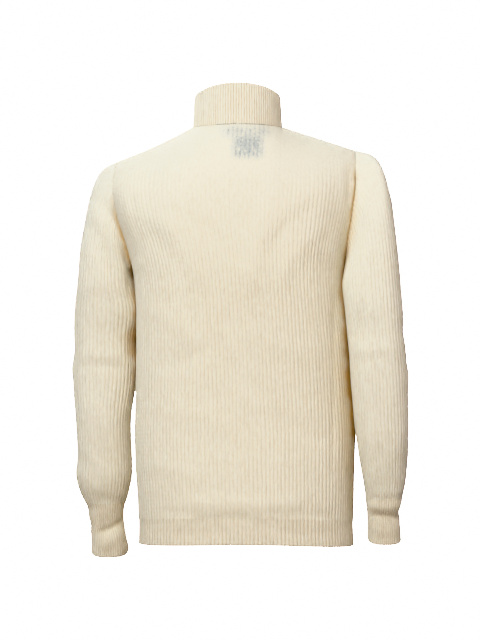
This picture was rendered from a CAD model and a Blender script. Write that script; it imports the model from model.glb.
# %% [markdown]
# # A half-zip sweater in rib knit
#
# The real sweater is a back, a front, two sleeves, two cuffs, a hem band and a high collar, all knitted in
# vertical ribs of cream wool and then linked together, with a short zip sewn into the front. It is filled out
# as if somebody wore it. The frame holds its plain solids, so this script only makes what shows: round ribs,
# creases, stitches, seams, the zip's teeth and the finish of every surface.
#
# We start by loading the frame, and we keep its box so that we can compare sizes at the end.

# %% Open the frame
import math

import bmesh
import bpy
import numpy as np
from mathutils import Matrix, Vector
from mathutils.bvhtree import BVHTree
from mathutils.kdtree import KDTree


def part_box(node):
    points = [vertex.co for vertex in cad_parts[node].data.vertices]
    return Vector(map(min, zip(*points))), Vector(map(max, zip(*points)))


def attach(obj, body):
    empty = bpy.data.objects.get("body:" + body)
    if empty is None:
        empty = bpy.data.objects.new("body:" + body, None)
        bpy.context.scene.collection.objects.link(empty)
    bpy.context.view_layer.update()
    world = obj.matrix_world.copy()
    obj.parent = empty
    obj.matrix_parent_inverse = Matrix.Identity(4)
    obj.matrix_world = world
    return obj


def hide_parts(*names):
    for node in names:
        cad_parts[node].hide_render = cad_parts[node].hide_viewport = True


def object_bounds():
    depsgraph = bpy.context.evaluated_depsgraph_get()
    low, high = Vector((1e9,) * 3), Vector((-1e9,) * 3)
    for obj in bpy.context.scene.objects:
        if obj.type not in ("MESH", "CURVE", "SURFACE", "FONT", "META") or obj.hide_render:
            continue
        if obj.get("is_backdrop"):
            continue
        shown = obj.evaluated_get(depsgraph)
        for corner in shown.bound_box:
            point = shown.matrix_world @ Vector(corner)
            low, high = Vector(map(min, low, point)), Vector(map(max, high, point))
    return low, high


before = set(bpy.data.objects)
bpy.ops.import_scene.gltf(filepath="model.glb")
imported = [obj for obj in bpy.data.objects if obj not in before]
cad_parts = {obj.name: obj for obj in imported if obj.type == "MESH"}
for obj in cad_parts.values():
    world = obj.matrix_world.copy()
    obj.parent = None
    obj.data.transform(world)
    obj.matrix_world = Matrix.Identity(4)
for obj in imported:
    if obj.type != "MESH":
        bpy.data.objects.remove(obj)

frame_box = [list(corner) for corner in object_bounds()]
print("frame box in mm:", [[round(value * 1000) for value in corner] for corner in frame_box])

# %% [markdown]
# ## The sizes of the knit
#
# A rib is a raised column of stitches with a sunk column beside it. We count cloth in columns, two to a rib:
# even columns are valleys and odd ones are peaks. All sizes are millimetres and are turned into Blender's
# metres when a mesh is made. The sizes are those of the solids, so every piece lies where its solid is.
# Named here once, one number changes the whole garment.

# %% Sizes of the cloth
MM = 0.001
WALL = 1.5  # cloth between the valleys outside and the peaks inside
RIB_HEIGHT = 1.4
INNER_RIB = 0.5
PANEL_RIBS = 74
SLEEVE_RIBS = 54
COLLAR_RIBS = 97
HALF = PANEL_RIBS
NECK_COLUMN, ARM_COLUMN, ZIP_COLUMN = 20, 61, 2
POINTS_A_COLUMN = 3
ROW_STEP = 7.0
COURSE = 2.1  # height of one stitch
BODY_WIDTH, ROUND_THE_BACK = 350.0, 1.34  # as it is seen, and how much more cloth goes round the back

print("one rib of the back is about", round(BODY_WIDTH * ROUND_THE_BACK / PANEL_RIBS, 1), "mm wide")

# %% Sizes of the cut
ARMPIT_Z, ARMHOLE_BEND_Z, SHOULDER_BEND_Z = -225.0, -112.0, -150.0
SHOULDER_SEAM_Y = -6.0
ARMHOLE_ROUNDNESS = 1.6
NECK_X, HEM_X = 5.5, -7.0
NECK_HALF_WIDTH, NECK_BACK_Y, NECK_FRONT_Y = 71.5, 61.0, -62.0
NECK_FRONT_DROP, NECK_ROUNDNESS = 45.0, 0.6
HIGH_POINT_Z, RIDGE_RISE = -2.0, 17.0
TURN_SLOPES = {"back": (-0.04, 0.30, 0.12), "front": (1.03, 0.35, 0.12)}
TURN_MIDDLE = 0.5
SHOULDER_TIP = {1: (199.0, -58.0), -1: (-184.0, -40.0)}
SHOULDER_SAG = {1: 3.0, -1: 0.0}
ZIP_BOTTOM_Z = -262.0
HEM_HEIGHT = 43.0
HEM_Z = {"back": -671.0, "front": -681.0, "left": -676.0, "right": -679.0}
LOWER_ROWS = (None, -540.0, -400.0, ZIP_BOTTOM_Z)
MIDDLE_ROWS, UPPER_ROWS = 3, 3
ZIP_ROW = len(LOWER_ROWS) - 1
ARM_ROW = ZIP_ROW + MIDDLE_ROWS
PANEL_ROWS = ARM_ROW + UPPER_ROWS

# %% [markdown]
# ## Sections through the body and the arms
#
# A worn body is a stack of rounded sections. Each row of a table is one section: its height, where its middle
# is, and how far the tops of the ribs lie from it. A body could be sculpted instead, but a table can be read
# and corrected. Between its rows we read a smooth curve, so a handful of them is enough.

# %% Body sections
TORSO = (
    # z, centre_x, half_width, back_depth, front_depth
    (-690, -8.4, 175.6, 107, 112),
    (-636, -8.0, 174.1, 106, 112),
    (-600, -7.7, 175.3, 106, 113),
    (-550, -6.5, 177.6, 103, 113),
    (-500, -6.4, 179.0, 99, 114),
    (-436, -5.4, 176.2, 97, 116),
    (-347, -2.6, 172.0, 100, 119),
    (-283, 0.6, 169.6, 105, 121),
    (-235, 3.8, 171.5, 109, 122),
    (-195, 7.0, 180.0, 112, 121),
    (-150, 10.5, 195.0, 113, 118),
    (-113, 11.5, 203.0, 112, 114),
    (-50, 9.0, 202.0, 104, 104),
    (0, 6.0, 200.0, 100, 100),
)


def smooth_curve(t, start, leave, end, arrive):
    """The curve from start (t is 0) to end (t is 1) that leaves and arrives with these directions."""
    return (
        (1 + 2 * t) * (1 - t) ** 2 * start
        + t * (1 - t) ** 2 * leave
        + t * t * (3 - 2 * t) * end
        + t * t * (t - 1) * arrive
    )


def along(rows, z):
    """Every column of a table after the first, read smoothly at the heights z."""
    table = np.array(sorted(rows), float)
    knots, values = table[:, 0], table[:, 1:]
    slopes = np.gradient(values, knots, axis=0)
    z = np.clip(np.asarray(z, float), knots[0], knots[-1])
    i = np.clip(np.searchsorted(knots, z) - 1, 0, len(knots) - 2)
    step = knots[i + 1] - knots[i]
    t = ((z - knots[i]) / step)[..., None]
    step = step[..., None]
    read = smooth_curve(t, values[i], step * slopes[i], values[i + 1], step * slopes[i + 1])
    return np.moveaxis(read, -1, 0)


print("half the chest is", round(float(along(TORSO, -150.0)[1])), "mm wide")

# %% Main folds
MAIN_FOLDS = (
    # panel, x1, z1, x2, z2, width, height
    ("back", -70, -70, -8, -270, 26, 3.0),
    ("back", -142, -215, -140, -520, 22, -3.0),
    ("back", -158, -120, -140, -190, 24, -4.0),
    ("back", 150, -135, 132, -205, 24, -4.0),
    ("back", 88, -110, 120, -190, 30, 3.0),
    ("back", -95, -610, 85, -606, 14, 2.5),
    ("front", 150, -120, 128, -200, 24, -5.0),
    ("front", -150, -120, -128, -200, 24, -5.0),
    ("front", 70, -300, 95, -500, 26, -3.5),
    ("front", -84, -280, -70, -480, 24, -3.0),
    ("front", -80, -608, 90, -612, 14, 2.5),
)


print(len(MAIN_FOLDS), "main folds")


def fold_relief(panel, x, z):
    """How far the main folds of a panel lift its cloth at x, z."""
    lift = np.zeros(np.broadcast(x, z).shape)
    for name, x1, z1, x2, z2, width, height in MAIN_FOLDS:
        if name != panel:
            continue
        length = math.hypot(x2 - x1, z2 - z1)
        along_x, along_z = (x2 - x1) / length, (z2 - z1) / length
        on = (x - x1) * along_x + (z - z1) * along_z
        off = (x - x1) * along_z - (z - z1) * along_x
        past = np.maximum(0, np.abs(on - length / 2) - length / 2 + width)
        lift += height * np.exp(-((off / width) ** 2) - (past / width) ** 2)
    return lift


# %% The cloth round the body
SIDE_FADE = 8  # how soon the main folds fade out towards a side seam


def quarter_section(power=2.4, aspect=1.6, points=400):
    """A rounded quarter section, as shares of width and depth, at even steps along the cloth."""
    angle = np.linspace(0, math.pi / 2, points)
    x, y = np.sin(angle) ** (2 / power), np.cos(angle) ** (2 / power)
    run = np.hypot(np.diff(x) * aspect, np.diff(y))
    share = np.concatenate([[0], np.cumsum(run)])
    return share / share[-1], x, y


CLOTH_SHARE, WIDTH_SHARE, DEPTH_SHARE = quarter_section()


def front_line_x(z):
    """The middle of the front, which the zip lies on, is a straight line."""
    return np.interp(z, [HEM_Z["front"], HIGH_POINT_Z - NECK_FRONT_DROP], [HEM_X, NECK_X])


def body_section(panel, u, z):
    """The cloth of a panel below the shoulders. u runs from -1 at the right side seam to 1 at the left."""
    centre_x, *sizes = along(TORSO, z)
    half_width, back, front = (size - RIB_HEIGHT for size in sizes)
    side = np.abs(u)
    x = centre_x + half_width * np.sign(u) * np.interp(side, CLOTH_SHARE, WIDTH_SHARE)
    depth = np.interp(side, CLOTH_SHARE, DEPTH_SHARE)
    relief = fold_relief(panel, x, z) * np.minimum(1, (1 - side) * SIDE_FADE)
    if panel == "front":
        x = x + (front_line_x(z) - centre_x) * (1 - u * u) ** 2
        return x, -(front * depth + relief)
    return x, back * depth + relief


# %% [markdown]
# ## Over the shoulders
#
# Above the chest each column of the knit curves inwards over the shoulder, towards a ridge. The neck opening
# is cut out of that surface afterwards, as a maker cuts a neckline, so the cloth stays smooth right up to it.
# A quadratic curve for each column is enough, because it leaves the chest upright and arrives on the ridge.

# %% Shoulder curves
def ease(t):
    """From 0 to 1 with a level start and end."""
    t = np.clip(t, 0, 1)
    return t * t * (3 - 2 * t)


def over_shoulder(panel, u):
    """Of each column's curve: its lower end's depth, the height it turns at, and the ridge's y and z."""
    u_neck, u_tip = NECK_COLUMN / HALF, ARM_COLUMN / HALF
    size = np.abs(u)
    out = np.maximum(0, (size - u_neck) / (u_tip - u_neck))
    tip_z = np.where(u < 0, SHOULDER_TIP[-1][1], SHOULDER_TIP[1][1])
    sag = np.where(u < 0, SHOULDER_SAG[-1], SHOULDER_SAG[1]) * np.sin(math.pi * np.clip(out, 0, 1))
    rise = RIDGE_RISE * (1 - np.minimum(size / u_neck, 1) ** 2)
    ridge_z = HIGH_POINT_Z + (tip_z - HIGH_POINT_Z) * out - sag + rise
    centre, middle, tip = TURN_SLOPES[panel]
    slope = centre + (middle - centre) * ease(size / TURN_MIDDLE)
    slope = slope + (tip - middle) * ease((size - TURN_MIDDLE) / (u_tip - TURN_MIDDLE))
    _, low_y = body_section(panel, u, np.full(np.shape(u), SHOULDER_BEND_Z))
    turn_z = ridge_z - slope * np.abs(low_y - SHOULDER_SEAM_Y)
    return low_y, turn_z, SHOULDER_SEAM_Y, ridge_z


def edge_share(panel, u):
    """How far along its curve a column is cut off: at the neck edge, or at 1 on the shoulder seam."""
    low_y, _, ridge_y, _ = over_shoulder(panel, u)
    hollow = 1 - np.minimum(np.abs(u) * HALF / NECK_COLUMN, 1) ** 2
    neck_y = NECK_BACK_Y if panel == "back" else NECK_FRONT_Y
    edge_y = ridge_y + (neck_y - ridge_y) * hollow**NECK_ROUNDNESS
    return np.sqrt(np.clip((low_y - edge_y) / (low_y - ridge_y), 0, 1))


def shoulder_curve(panel, u, t):
    """The cloth of a panel over the shoulder: t is 0 at SHOULDER_BEND_Z and 1 on the ridge."""
    low_y, turn_z, ridge_y, ridge_z = over_shoulder(panel, u)
    z = (1 - t) ** 2 * SHOULDER_BEND_Z + 2 * t * (1 - t) * turn_z + t * t * ridge_z
    y = (1 - t * t) * low_y + t * t * ridge_y
    u_neck, u_tip = NECK_COLUMN / HALF, ARM_COLUMN / HALF
    side, size = np.where(u < 0, -1, 1), np.abs(u)
    out = np.maximum(0, (size - u_neck) / (u_tip - u_neck))
    neck_x = NECK_X + side * NECK_HALF_WIDTH * np.minimum(size / u_neck, 1)
    tip_x = np.where(u < 0, SHOULDER_TIP[-1][0], SHOULDER_TIP[1][0])
    edge_x = neck_x + (tip_x - neck_x) * out
    plain_x, _ = body_section(panel, u, z)
    return plain_x + (edge_x - plain_x) * (t / edge_share(panel, u)) ** 3, y, z


def shoulder_share(panel, u, z):
    """The t of shoulder_curve at which a column reaches the height z."""
    _, turn_z, _, ridge_z = over_shoulder(panel, u)
    a = SHOULDER_BEND_Z - 2 * turn_z + ridge_z
    b = 2 * (turn_z - SHOULDER_BEND_Z)
    c = SHOULDER_BEND_Z - z
    root = np.sqrt(np.maximum(b * b - 4 * a * c, 0))
    return np.clip(-2 * c / (b + root), 0, 1)


# %% A panel, by column and row
def hem_line(panel, u):
    """Height of the bottom edge of the hem."""
    side_z = np.where(u < 0, HEM_Z["right"], HEM_Z["left"])
    return side_z + (HEM_Z[panel] - side_z) * np.cos(np.abs(u) * math.pi / 2) ** 2


def armhole_line(u):
    """Height of the lower, curved part of the armhole, from the side seam in to ARM_COLUMN."""
    inward = np.clip((1 - np.abs(u)) / (1 - ARM_COLUMN / HALF), 0, 1)
    rise = 1 - (1 - inward**ARMHOLE_ROUNDNESS) ** (1 / ARMHOLE_ROUNDNESS)
    return ARMPIT_Z + (ARMHOLE_BEND_Z - ARMPIT_Z) * rise


def panel_surface(panel, column, row):
    """Point of a panel at a column (-HALF..HALF) and a row (0..PANEL_ROWS); both may be fractions."""
    u = np.asarray(column, float) / HALF
    u, row = np.broadcast_arrays(u, np.asarray(row, float))
    hem_top = hem_line(panel, u) + HEM_HEIGHT
    z = np.interp(row, range(1, len(LOWER_ROWS)), LOWER_ROWS[1:])
    z = np.where(row < 1, hem_top + (LOWER_ROWS[1] - hem_top) * row, z)
    middle = np.clip((row - ZIP_ROW) / MIDDLE_ROWS, 0, 1)
    z = np.where(row > ZIP_ROW, ZIP_BOTTOM_Z + (armhole_line(u) - ZIP_BOTTOM_Z) * middle, z)
    start = shoulder_share(panel, u, z)
    upper = np.clip((row - ARM_ROW) / UPPER_ROWS, 0, 1)
    t = start + (edge_share(panel, u) - start) * upper
    low_x, low_y = body_section(panel, u, z)
    top_x, top_y, top_z = shoulder_curve(panel, u, t)
    above = (z > SHOULDER_BEND_Z) | (upper > 0)
    pairs = ((top_x, low_x), (top_y, low_y), (top_z, z))
    return np.stack([np.where(above, high, low) for high, low in pairs], axis=-1)


print("nape at", [round(float(v)) for v in panel_surface("back", 0, PANEL_ROWS)], "mm")

# %% [markdown]
# ## Where the pieces meet
#
# The sleeves and the collar are linked on to the edges of the panels. Other pieces start from those edges, so
# we work out both lines here, and let every crease fade out on its way to them. Otherwise a crease would pull
# the two sides of a seam apart.

# %% Directions on a panel
BESIDE_COLUMN, BESIDE_ROW = 0.5, 0.05  # how far to each side a direction is measured
UPRIGHT_POINTS, CURVED_POINTS = 10, 4  # round an armhole: points to a row, and points to a column


def unit(vectors):
    """The same directions with a length of 1."""
    return vectors / np.maximum(np.linalg.norm(vectors, axis=-1, keepdims=True), 1e-9)


def panel_normals(panel, column, row):
    """Outward directions of a panel, from points a little to each side."""
    column = np.clip(column, -HALF + BESIDE_COLUMN, HALF - BESIDE_COLUMN)
    left, right = (panel_surface(panel, column + step, row) for step in (BESIDE_COLUMN, -BESIDE_COLUMN))
    higher = np.minimum(row + BESIDE_ROW, PANEL_ROWS)
    up = panel_surface(panel, column, higher) - panel_surface(panel, column, row - BESIDE_ROW)
    return unit((-1 if panel == "back" else 1) * np.cross(left - right, up))


# %% Round the armhole
def armhole_loop(arm):
    """(points, outward directions) round an armhole, from the shoulder down the back and up the front."""
    points, normals = [], []
    rise, run = UPRIGHT_POINTS, CURVED_POINTS
    for panel, order in (("back", 1), ("front", -1)):
        upright = [(ARM_COLUMN, PANEL_ROWS - i / rise) for i in range(rise * UPPER_ROWS)]
        curved = [(ARM_COLUMN + i / run, ARM_ROW) for i in range(run * (HALF - ARM_COLUMN) + 1)]
        spots = (upright + curved)[::order]
        if order < 0:
            spots = spots[1:-1]
        column = np.array([arm * c for c, _ in spots], float)
        row = np.array([r for _, r in spots], float)
        points.append(panel_surface(panel, column, row))
        normals.append(panel_normals(panel, column, row))
    return np.concatenate(points), np.concatenate(normals)


def run_along(line):
    """How far along a line each of its points lies. Its first three columns are the points."""
    steps = np.linalg.norm(np.diff(line[:, :3], axis=0), axis=1)
    return np.concatenate([[0], np.cumsum(steps)])


def read_at(line, way, places):
    """Every column of a line, read at places on the scale of way."""
    return np.stack([np.interp(places, way, column) for column in line.T], axis=-1)


def spread(line, shares):
    """A line read at these shares of its length."""
    way = run_along(line)
    return read_at(line, way / way[-1], shares)


def spread_round(loop, shares):
    """The same for a closed loop."""
    return spread(np.concatenate([loop, loop[:1]]), shares)


print("the left armhole is", round(run_along(armhole_loop(1)[0])[-1]), "mm round")


# %% Round the neck
def neckline():
    """The neck edge of both panels, from the left edge of the zip round the back to the right edge."""
    end = NECK_COLUMN * CURVED_POINTS
    left = np.arange(ZIP_COLUMN * CURVED_POINTS, end + 1) / CURVED_POINTS
    back = np.arange(end - 1, -end, -1) / CURVED_POINTS
    stretches = (("front", left), ("back", back), ("front", -left[::-1]))
    return np.concatenate([panel_surface(panel, column, float(PANEL_ROWS)) for panel, column in stretches])


NECK_LINE = neckline()
print("the neck edge is", round(run_along(NECK_LINE)[-1]), "mm long")

# %% Fading near the joins
JOIN_FADE = 12.0


def point_tree(points):
    """Points, ready to find the nearest of."""
    tree = KDTree(len(points))
    for i, point in enumerate(points):
        tree.insert(point, i)
    tree.balance()
    return tree


def join_tree():
    """Every linked edge of the sleeves and the collar, ready to find the nearest point of."""
    return point_tree(np.concatenate([armhole_loop(1)[0], armhole_loop(-1)[0], NECK_LINE]))


JOINS = join_tree()


def away_from_joins(points):
    """0 on a linked edge, and close to 1 from twice JOIN_FADE away."""
    flat = points.reshape(-1, 3)
    distance = np.array([JOINS.find(point)[2] for point in flat])
    return (1 - np.exp(-((distance / JOIN_FADE) ** 2))).reshape(points.shape[:-1])


# %% [markdown]
# ## Creases
#
# Knitted wool hangs in soft troughs and ridges. Each row of the table is one of them, drawn as a line on the
# garment as it is seen from the back, the front or a side, with a sideways bow, a width and a height. The
# front can't be seen in the photograph, so it gets similar creases of its own. Adding them along the
# surface's own direction keeps the cloth's length nearly the same.

# %% Table of creases
CREASES = (
    # part, seen from, across1, z1, across2, z2, bow, width, height
    ("body", "back", -148, -262, -143, -575, 3, 5, -1.6),
    ("body", "back", -176, -70, -168, -214, 3, 8, -3.2),
    ("body", "back", -166, -150, -150, -330, 4, 9, -1.1),
    ("body", "back", 176, -120, 164, -222, -2, 10, -3.0),
    ("body", "back", 40, -76, 78, -88, 3, 5, 0.9),
    ("body", "back", -16, -92, 30, -80, -3, 5, 0.8),
    ("body", "back", 142, -150, 60, -255, 9, 17, 2.0),
    ("body", "back", 118, -140, 20, -205, 7, 12, -1.3),
    ("body", "back", -132, -165, -60, -260, -8, 15, 1.8),
    ("body", "back", -120, -130, -36, -215, -6, 12, -1.6),
    ("body", "back", -20, -95, -66, -200, 5, 14, -1.5),
    ("body", "back", 150, -300, 70, -352, 6, 15, 1.4),
    ("body", "back", 135, -390, 40, -350, -7, 14, -1.2),
    ("body", "back", -120, -370, -10, -330, 6, 15, 1.2),
    ("body", "back", 120, -455, 10, -490, 5, 16, 1.2),
    ("body", "back", -130, -505, -30, -470, -6, 14, -1.2),
    ("body", "back", 140, -545, 60, -570, 4, 12, 1.2),
    ("body", "back", 120, -622, -20, -626, -2, 6, -1.4),
    ("body", "back", -40, -618, -150, -628, 2, 7, -1.6),
    ("body", "back", 96, -631, 36, -622, 2, 5, 1.2),
    ("body", "front", 168, -110, 160, -220, 3, 9, -3.0),
    ("body", "front", -166, -95, -160, -218, -3, 9, -3.0),
    ("body", "front", 140, -140, 60, -235, 9, 16, 2.0),
    ("body", "front", -136, -130, -62, -225, -8, 15, 1.9),
    ("body", "front", 120, -170, 40, -290, 6, 13, -1.4),
    ("body", "front", -112, -160, -44, -300, -6, 12, -1.5),
    ("body", "front", 22, -268, 64, -330, 4, 11, 1.6),
    ("body", "front", -18, -268, -58, -340, -4, 11, 1.5),
    ("body", "front", 140, -330, 36, -392, 7, 15, 1.6),
    ("body", "front", -138, -352, -30, -396, -6, 15, -1.5),
    ("body", "front", 128, -468, 20, -440, 5, 15, -1.3),
    ("body", "front", -120, -450, -10, -498, 6, 16, 1.5),
    ("body", "front", 110, -560, 10, -540, -4, 13, 1.2),
    ("body", "front", 130, -626, 10, -630, 2, 6, -1.5),
    ("body", "front", -20, -631, -140, -627, 2, 6, -1.5),
    ("left_arm", "back", 238, -138, 186, -262, 7, 10, 2.6),
    ("left_arm", "back", 216, -150, 190, -240, 4, 7, 2.6),
    ("body", "back", 182, -120, 160, -232, -2, 8, 2.2),
    ("left_arm", "back", 226, -120, 180, -220, 6, 8, -2.4),
    ("left_arm", "back", 252, -190, 196, -320, 6, 10, 1.8),
    ("left_arm", "back", 200, -160, 183, -225, 3, 6, -3.0),
    ("left_arm", "back", 181, -222, 177, -300, -3, 5, -1.6),
    ("left_arm", "back", 178, -325, 176, -380, -2, 5, -1.6),
    ("left_arm", "right", -34, -230, -36, -286, 0, 20, 7.0),
    ("left_arm", "right", -44, -318, -46, -392, 0, 24, 5.0),
    ("left_arm", "back", 268, -390, 190, -394, 3, 7, -1.3),
    ("left_arm", "back", 262, -372, 184, -380, 5, 9, 1.4),
    ("left_arm", "back", 190, -330, 176, -390, -3, 10, -0.8),
    ("left_arm", "back", 262, -520, 210, -580, 5, 9, 1.3),
    ("left_arm", "back", 246, -588, 190, -600, 3, 7, 1.5),
    ("left_arm", "front", 262, -300, 180, -345, 6, 12, 2.4),
    ("left_arm", "front", 258, -350, 184, -372, -5, 9, -2.6),
    ("left_arm", "front", 264, -400, 186, -382, 5, 11, 2.2),
    ("left_arm", "front", 236, -150, 184, -250, 6, 11, 2.2),
    ("left_arm", "front", 256, -450, 200, -520, 5, 12, -1.5),
    ("left_arm", "left", -70, -330, -20, -372, 4, 12, -2.2),
    ("left_arm", "left", -80, -400, -26, -392, 4, 11, 1.8),
    ("left_arm", "left", -84, -520, -40, -572, 4, 12, 1.6),
    ("left_arm", "left", -50, -150, 8, -230, 4, 14, 1.6),
    ("right_arm", "back", -200, -112, -176, -230, -3, 8, -2.2),
    ("right_arm", "left", 18, -226, 34, -268, 0, 26, 3.6),
    ("right_arm", "left", 38, -280, 42, -430, 0, 26, 1.5),
    ("right_arm", "back", -226, -130, -190, -250, -5, 12, 1.8),
    ("right_arm", "back", -236, -375, -180, -384, -4, 7, -1.3),
    ("right_arm", "back", -244, -360, -178, -362, 4, 9, 1.2),
    ("right_arm", "back", -190, -290, -184, -420, 2, 8, -1.8),
    ("right_arm", "back", -250, -520, -205, -580, -5, 10, 1.3),
    ("right_arm", "back", -256, -588, -212, -592, 3, 6, 1.8),
    ("right_arm", "front", -246, -310, -180, -340, -6, 12, 2.4),
    ("right_arm", "front", -248, -352, -178, -366, 5, 9, -2.6),
    ("right_arm", "front", -250, -400, -184, -386, -5, 11, 2.0),
    ("right_arm", "front", -226, -130, -180, -240, -6, 11, 2.2),
    ("right_arm", "front", -246, -470, -200, -540, -5, 12, -1.5),
    ("right_arm", "right", 60, -330, 10, -368, 4, 12, -2.2),
    ("right_arm", "right", 66, -410, 14, -396, 4, 11, 1.8),
    ("right_arm", "right", 60, -520, 14, -570, 4, 12, 1.6),
    ("right_arm", "right", 30, -120, -24, -220, 4, 14, 1.6),
    ("left_arm", "back", 184, -612, 230, -606, 1, 6, -0.9),
    ("left_arm", "back", 184, -636, 232, -662, 3, 6, -4.2),
    ("left_arm", "back", 186, -656, 226, -684, 2, 8, 2.8),
    ("left_arm", "back", 214, -622, 244, -634, 2, 8, 1.4),
    ("left_arm", "right", -120, -692, -30, -690, 0, 16, 3.2),
    ("left_arm", "front", 196, -652, 240, -640, 2, 6, -2.0),
    ("left_arm", "left", -100, -640, -40, -652, 2, 7, -1.8),
    ("right_arm", "back", -262, -596, -206, -600, 1, 6, -1.2),
    ("right_arm", "back", -258, -612, -202, -611, 2, 7, 1.9),
    ("right_arm", "back", -258, -634, -208, -627, -2, 6, -2.8),
    ("right_arm", "back", -250, -652, -206, -646, 2, 8, 1.4),
    ("right_arm", "front", -250, -636, -206, -624, 2, 6, -2.0),
    ("right_arm", "right", 50, -620, -4, -632, 2, 7, -1.8),
    ("body", "back", -150, -655, -60, -652, 1, 7, -0.9),
    ("body", "back", 20, -650, 110, -655, 1, 7, -0.9),
    ("body", "front", -100, -664, 20, -660, 1, 8, -1.0),
    ("collar", "back", -58, 30, -62, 2, 2, 7, -1.2),
    ("collar", "back", 20, 44, 66, 12, 4, 14, 0.8),
    ("collar", "front", 50, 20, 24, -24, 3, 9, -1.2),
    ("collar", "front", -40, 16, -18, -26, -3, 9, -1.2),
    ("collar", "left", -30, 34, 10, 6, 3, 10, -0.9),
    ("collar", "right", 34, 36, -6, 8, 3, 10, -0.9),
)
SEEN_FROM = {"back": (1, 1), "front": (1, -1), "left": (0, 1), "right": (0, -1)}  # axis and side it faces
FACING = 1.5  # how soon a crease fades out where the cloth turns away
CREASE_MIDDLE, CREASE_FADE, END_FADE = 0.38, 0.12, 1.5  # half of its full length, and how soon its ends fade


def crease_lift(part, points, normals):
    """How far the creases of a part lift each of its points."""
    lift = np.zeros(points.shape[:-1])
    for name, seen_from, a1, z1, a2, z2, bow, width, height in CREASES:
        if name != part:
            continue
        axis, side = SEEN_FROM[seen_from]
        across, z = points[..., 1 - axis], points[..., 2]
        facing = ease(normals[..., axis] * side * FACING)
        length = math.hypot(a2 - a1, z2 - z1)
        run_a, run_z = (a2 - a1) / length, (z2 - z1) / length
        on = ((across - a1) * run_a + (z - z1) * run_z) / length
        off = (across - a1) * run_z - (z - z1) * run_a - bow * np.sin(math.pi * np.clip(on, 0, 1))
        past = np.maximum(0, np.abs(on - 0.5) - CREASE_MIDDLE) * length / (CREASE_FADE * length + width)
        lift += facing * height * np.exp(-((off / width) ** 2) - (END_FADE * past) ** 2)
    return lift * away_from_joins(points)


print(len(CREASES), "creases")

# %% [markdown]
# ## How a rib looks
#
# A rib stands up round, and beside it the cloth falls into a narrow valley. The power of a sine gives both
# with one number. A bump could fake it, but it would vanish at the outline, so the ribs are real shape. No
# two ribs of a real garment are the same: each is a little higher or lower, and drifts sideways on its way.

# %% Rib shape
RIB_POWER = 0.62
HEIGHT_VARIATION, HIGHEST_RIB = 0.24, 1.15  # of the height of a rib
SLOW_CHANGE, QUICK_CHANGE = 45.0, 11.0  # the heights over which a rib grows higher and lower
DRIFT_SPAN, FINE_SPAN = (9, 60), (1.9, 17)  # columns and millimetres over which the drift turns
DRIFT, FINE_DRIFT, ANCHOR_REACH = 0.45, 0.26, 4  # in columns
# heights, and what is left of the ribs there
STRETCHED_BACK = ((-270, -185, -120, -88, -76), (1.0, 0.74, 0.5, 0.42, 0.2))
STRETCHED_FRONT = ((-230, -120, -50), (1.0, 0.85, 0.55))
STRETCHED_SLEEVE = ((-250, -160, -110, -60), (1.0, 0.75, 0.4, 0.32))
STRETCH_UNEVEN = 11.0  # how far the line between smooth and ribbed cloth wanders up and down


def rib_profile(column):
    """0 in the valleys (even columns) and 1 on the peaks (odd ones)."""
    return np.abs(np.sin(np.asarray(column, float) * math.pi / 2)) ** RIB_POWER


def wave(a, b, seed):
    """A smooth uneven pattern between -1 and 1 over two coordinates."""
    return (
        np.sin(1.7 * a + 0.6 * b + seed)
        + np.sin(0.63 * a - 1.1 * b + 2.3 * seed)
        + np.sin(0.31 * a + 0.47 * b + 4.1 * seed)
    ) / 3


def rib_height(column, z, seed, stretch=None):
    """(height of the ribs in millimetres, height of their peaks)."""
    rib = np.round(column / 2 + 0.5)
    both = wave(rib, z / SLOW_CHANGE, seed) + wave(2.7 * rib, z / QUICK_CHANGE, seed)
    uneven = 1 + HEIGHT_VARIATION * both / 1.4
    peak = RIB_HEIGHT * np.minimum(uneven, HIGHEST_RIB)
    if stretch is not None:
        peak = peak * np.interp(z + STRETCH_UNEVEN * wave(column / 8, 0, seed), *stretch)
    return peak * rib_profile(column), peak


def drift(column, z, seed, anchors=()):
    """How far the ribs wander sideways, in columns. They stay put at the anchors."""
    moved = DRIFT * wave(column / DRIFT_SPAN[0], z / DRIFT_SPAN[1], seed)
    moved = moved + FINE_DRIFT * wave(column / FINE_SPAN[0], z / FINE_SPAN[1], seed)
    for anchor in anchors:
        moved = moved * (1 - np.exp(-(((np.abs(column) - anchor) / ANCHOR_REACH) ** 2)))
    return moved


print("rib profile:", [round(float(v), 2) for v in rib_profile(np.arange(7) / POINTS_A_COLUMN)])

# %% [markdown]
# ## From a grid of points to a wall of cloth
#
# Every knitted piece is a grid: columns along the ribs' numbers, rows up the garment. The outside follows the
# ribs, and the inside follows their backs. Both meet in one shared edge, and the last millimetre or two
# rounds over towards it like a real knitted edge. Where two pieces are linked, their edges share a line, so
# the rounding leaves the groove of the seam. A Solidify modifier could thicken a sheet, but it knows nothing
# of ribs and seams. The result is one closed mesh without loose faces.

# %% Directions on a grid
def grid_normals(points, sign, wrap):
    """Outward directions of a grid of points, from the neighbours of each."""
    if wrap:
        ahead = np.roll(points, -1, axis=0) - np.roll(points, 1, axis=0)
    else:
        ahead = np.gradient(points, axis=0)
    up = np.gradient(points, axis=1)
    return unit(sign * np.cross(ahead, up))


def creased(part, points, sign, wrap):
    """(points with the creases of a part, their outward directions)."""
    normals = grid_normals(points, sign, wrap)
    points = points + normals * crease_lift(part, points, normals)[..., None]
    return points, grid_normals(points, sign, wrap)


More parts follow.
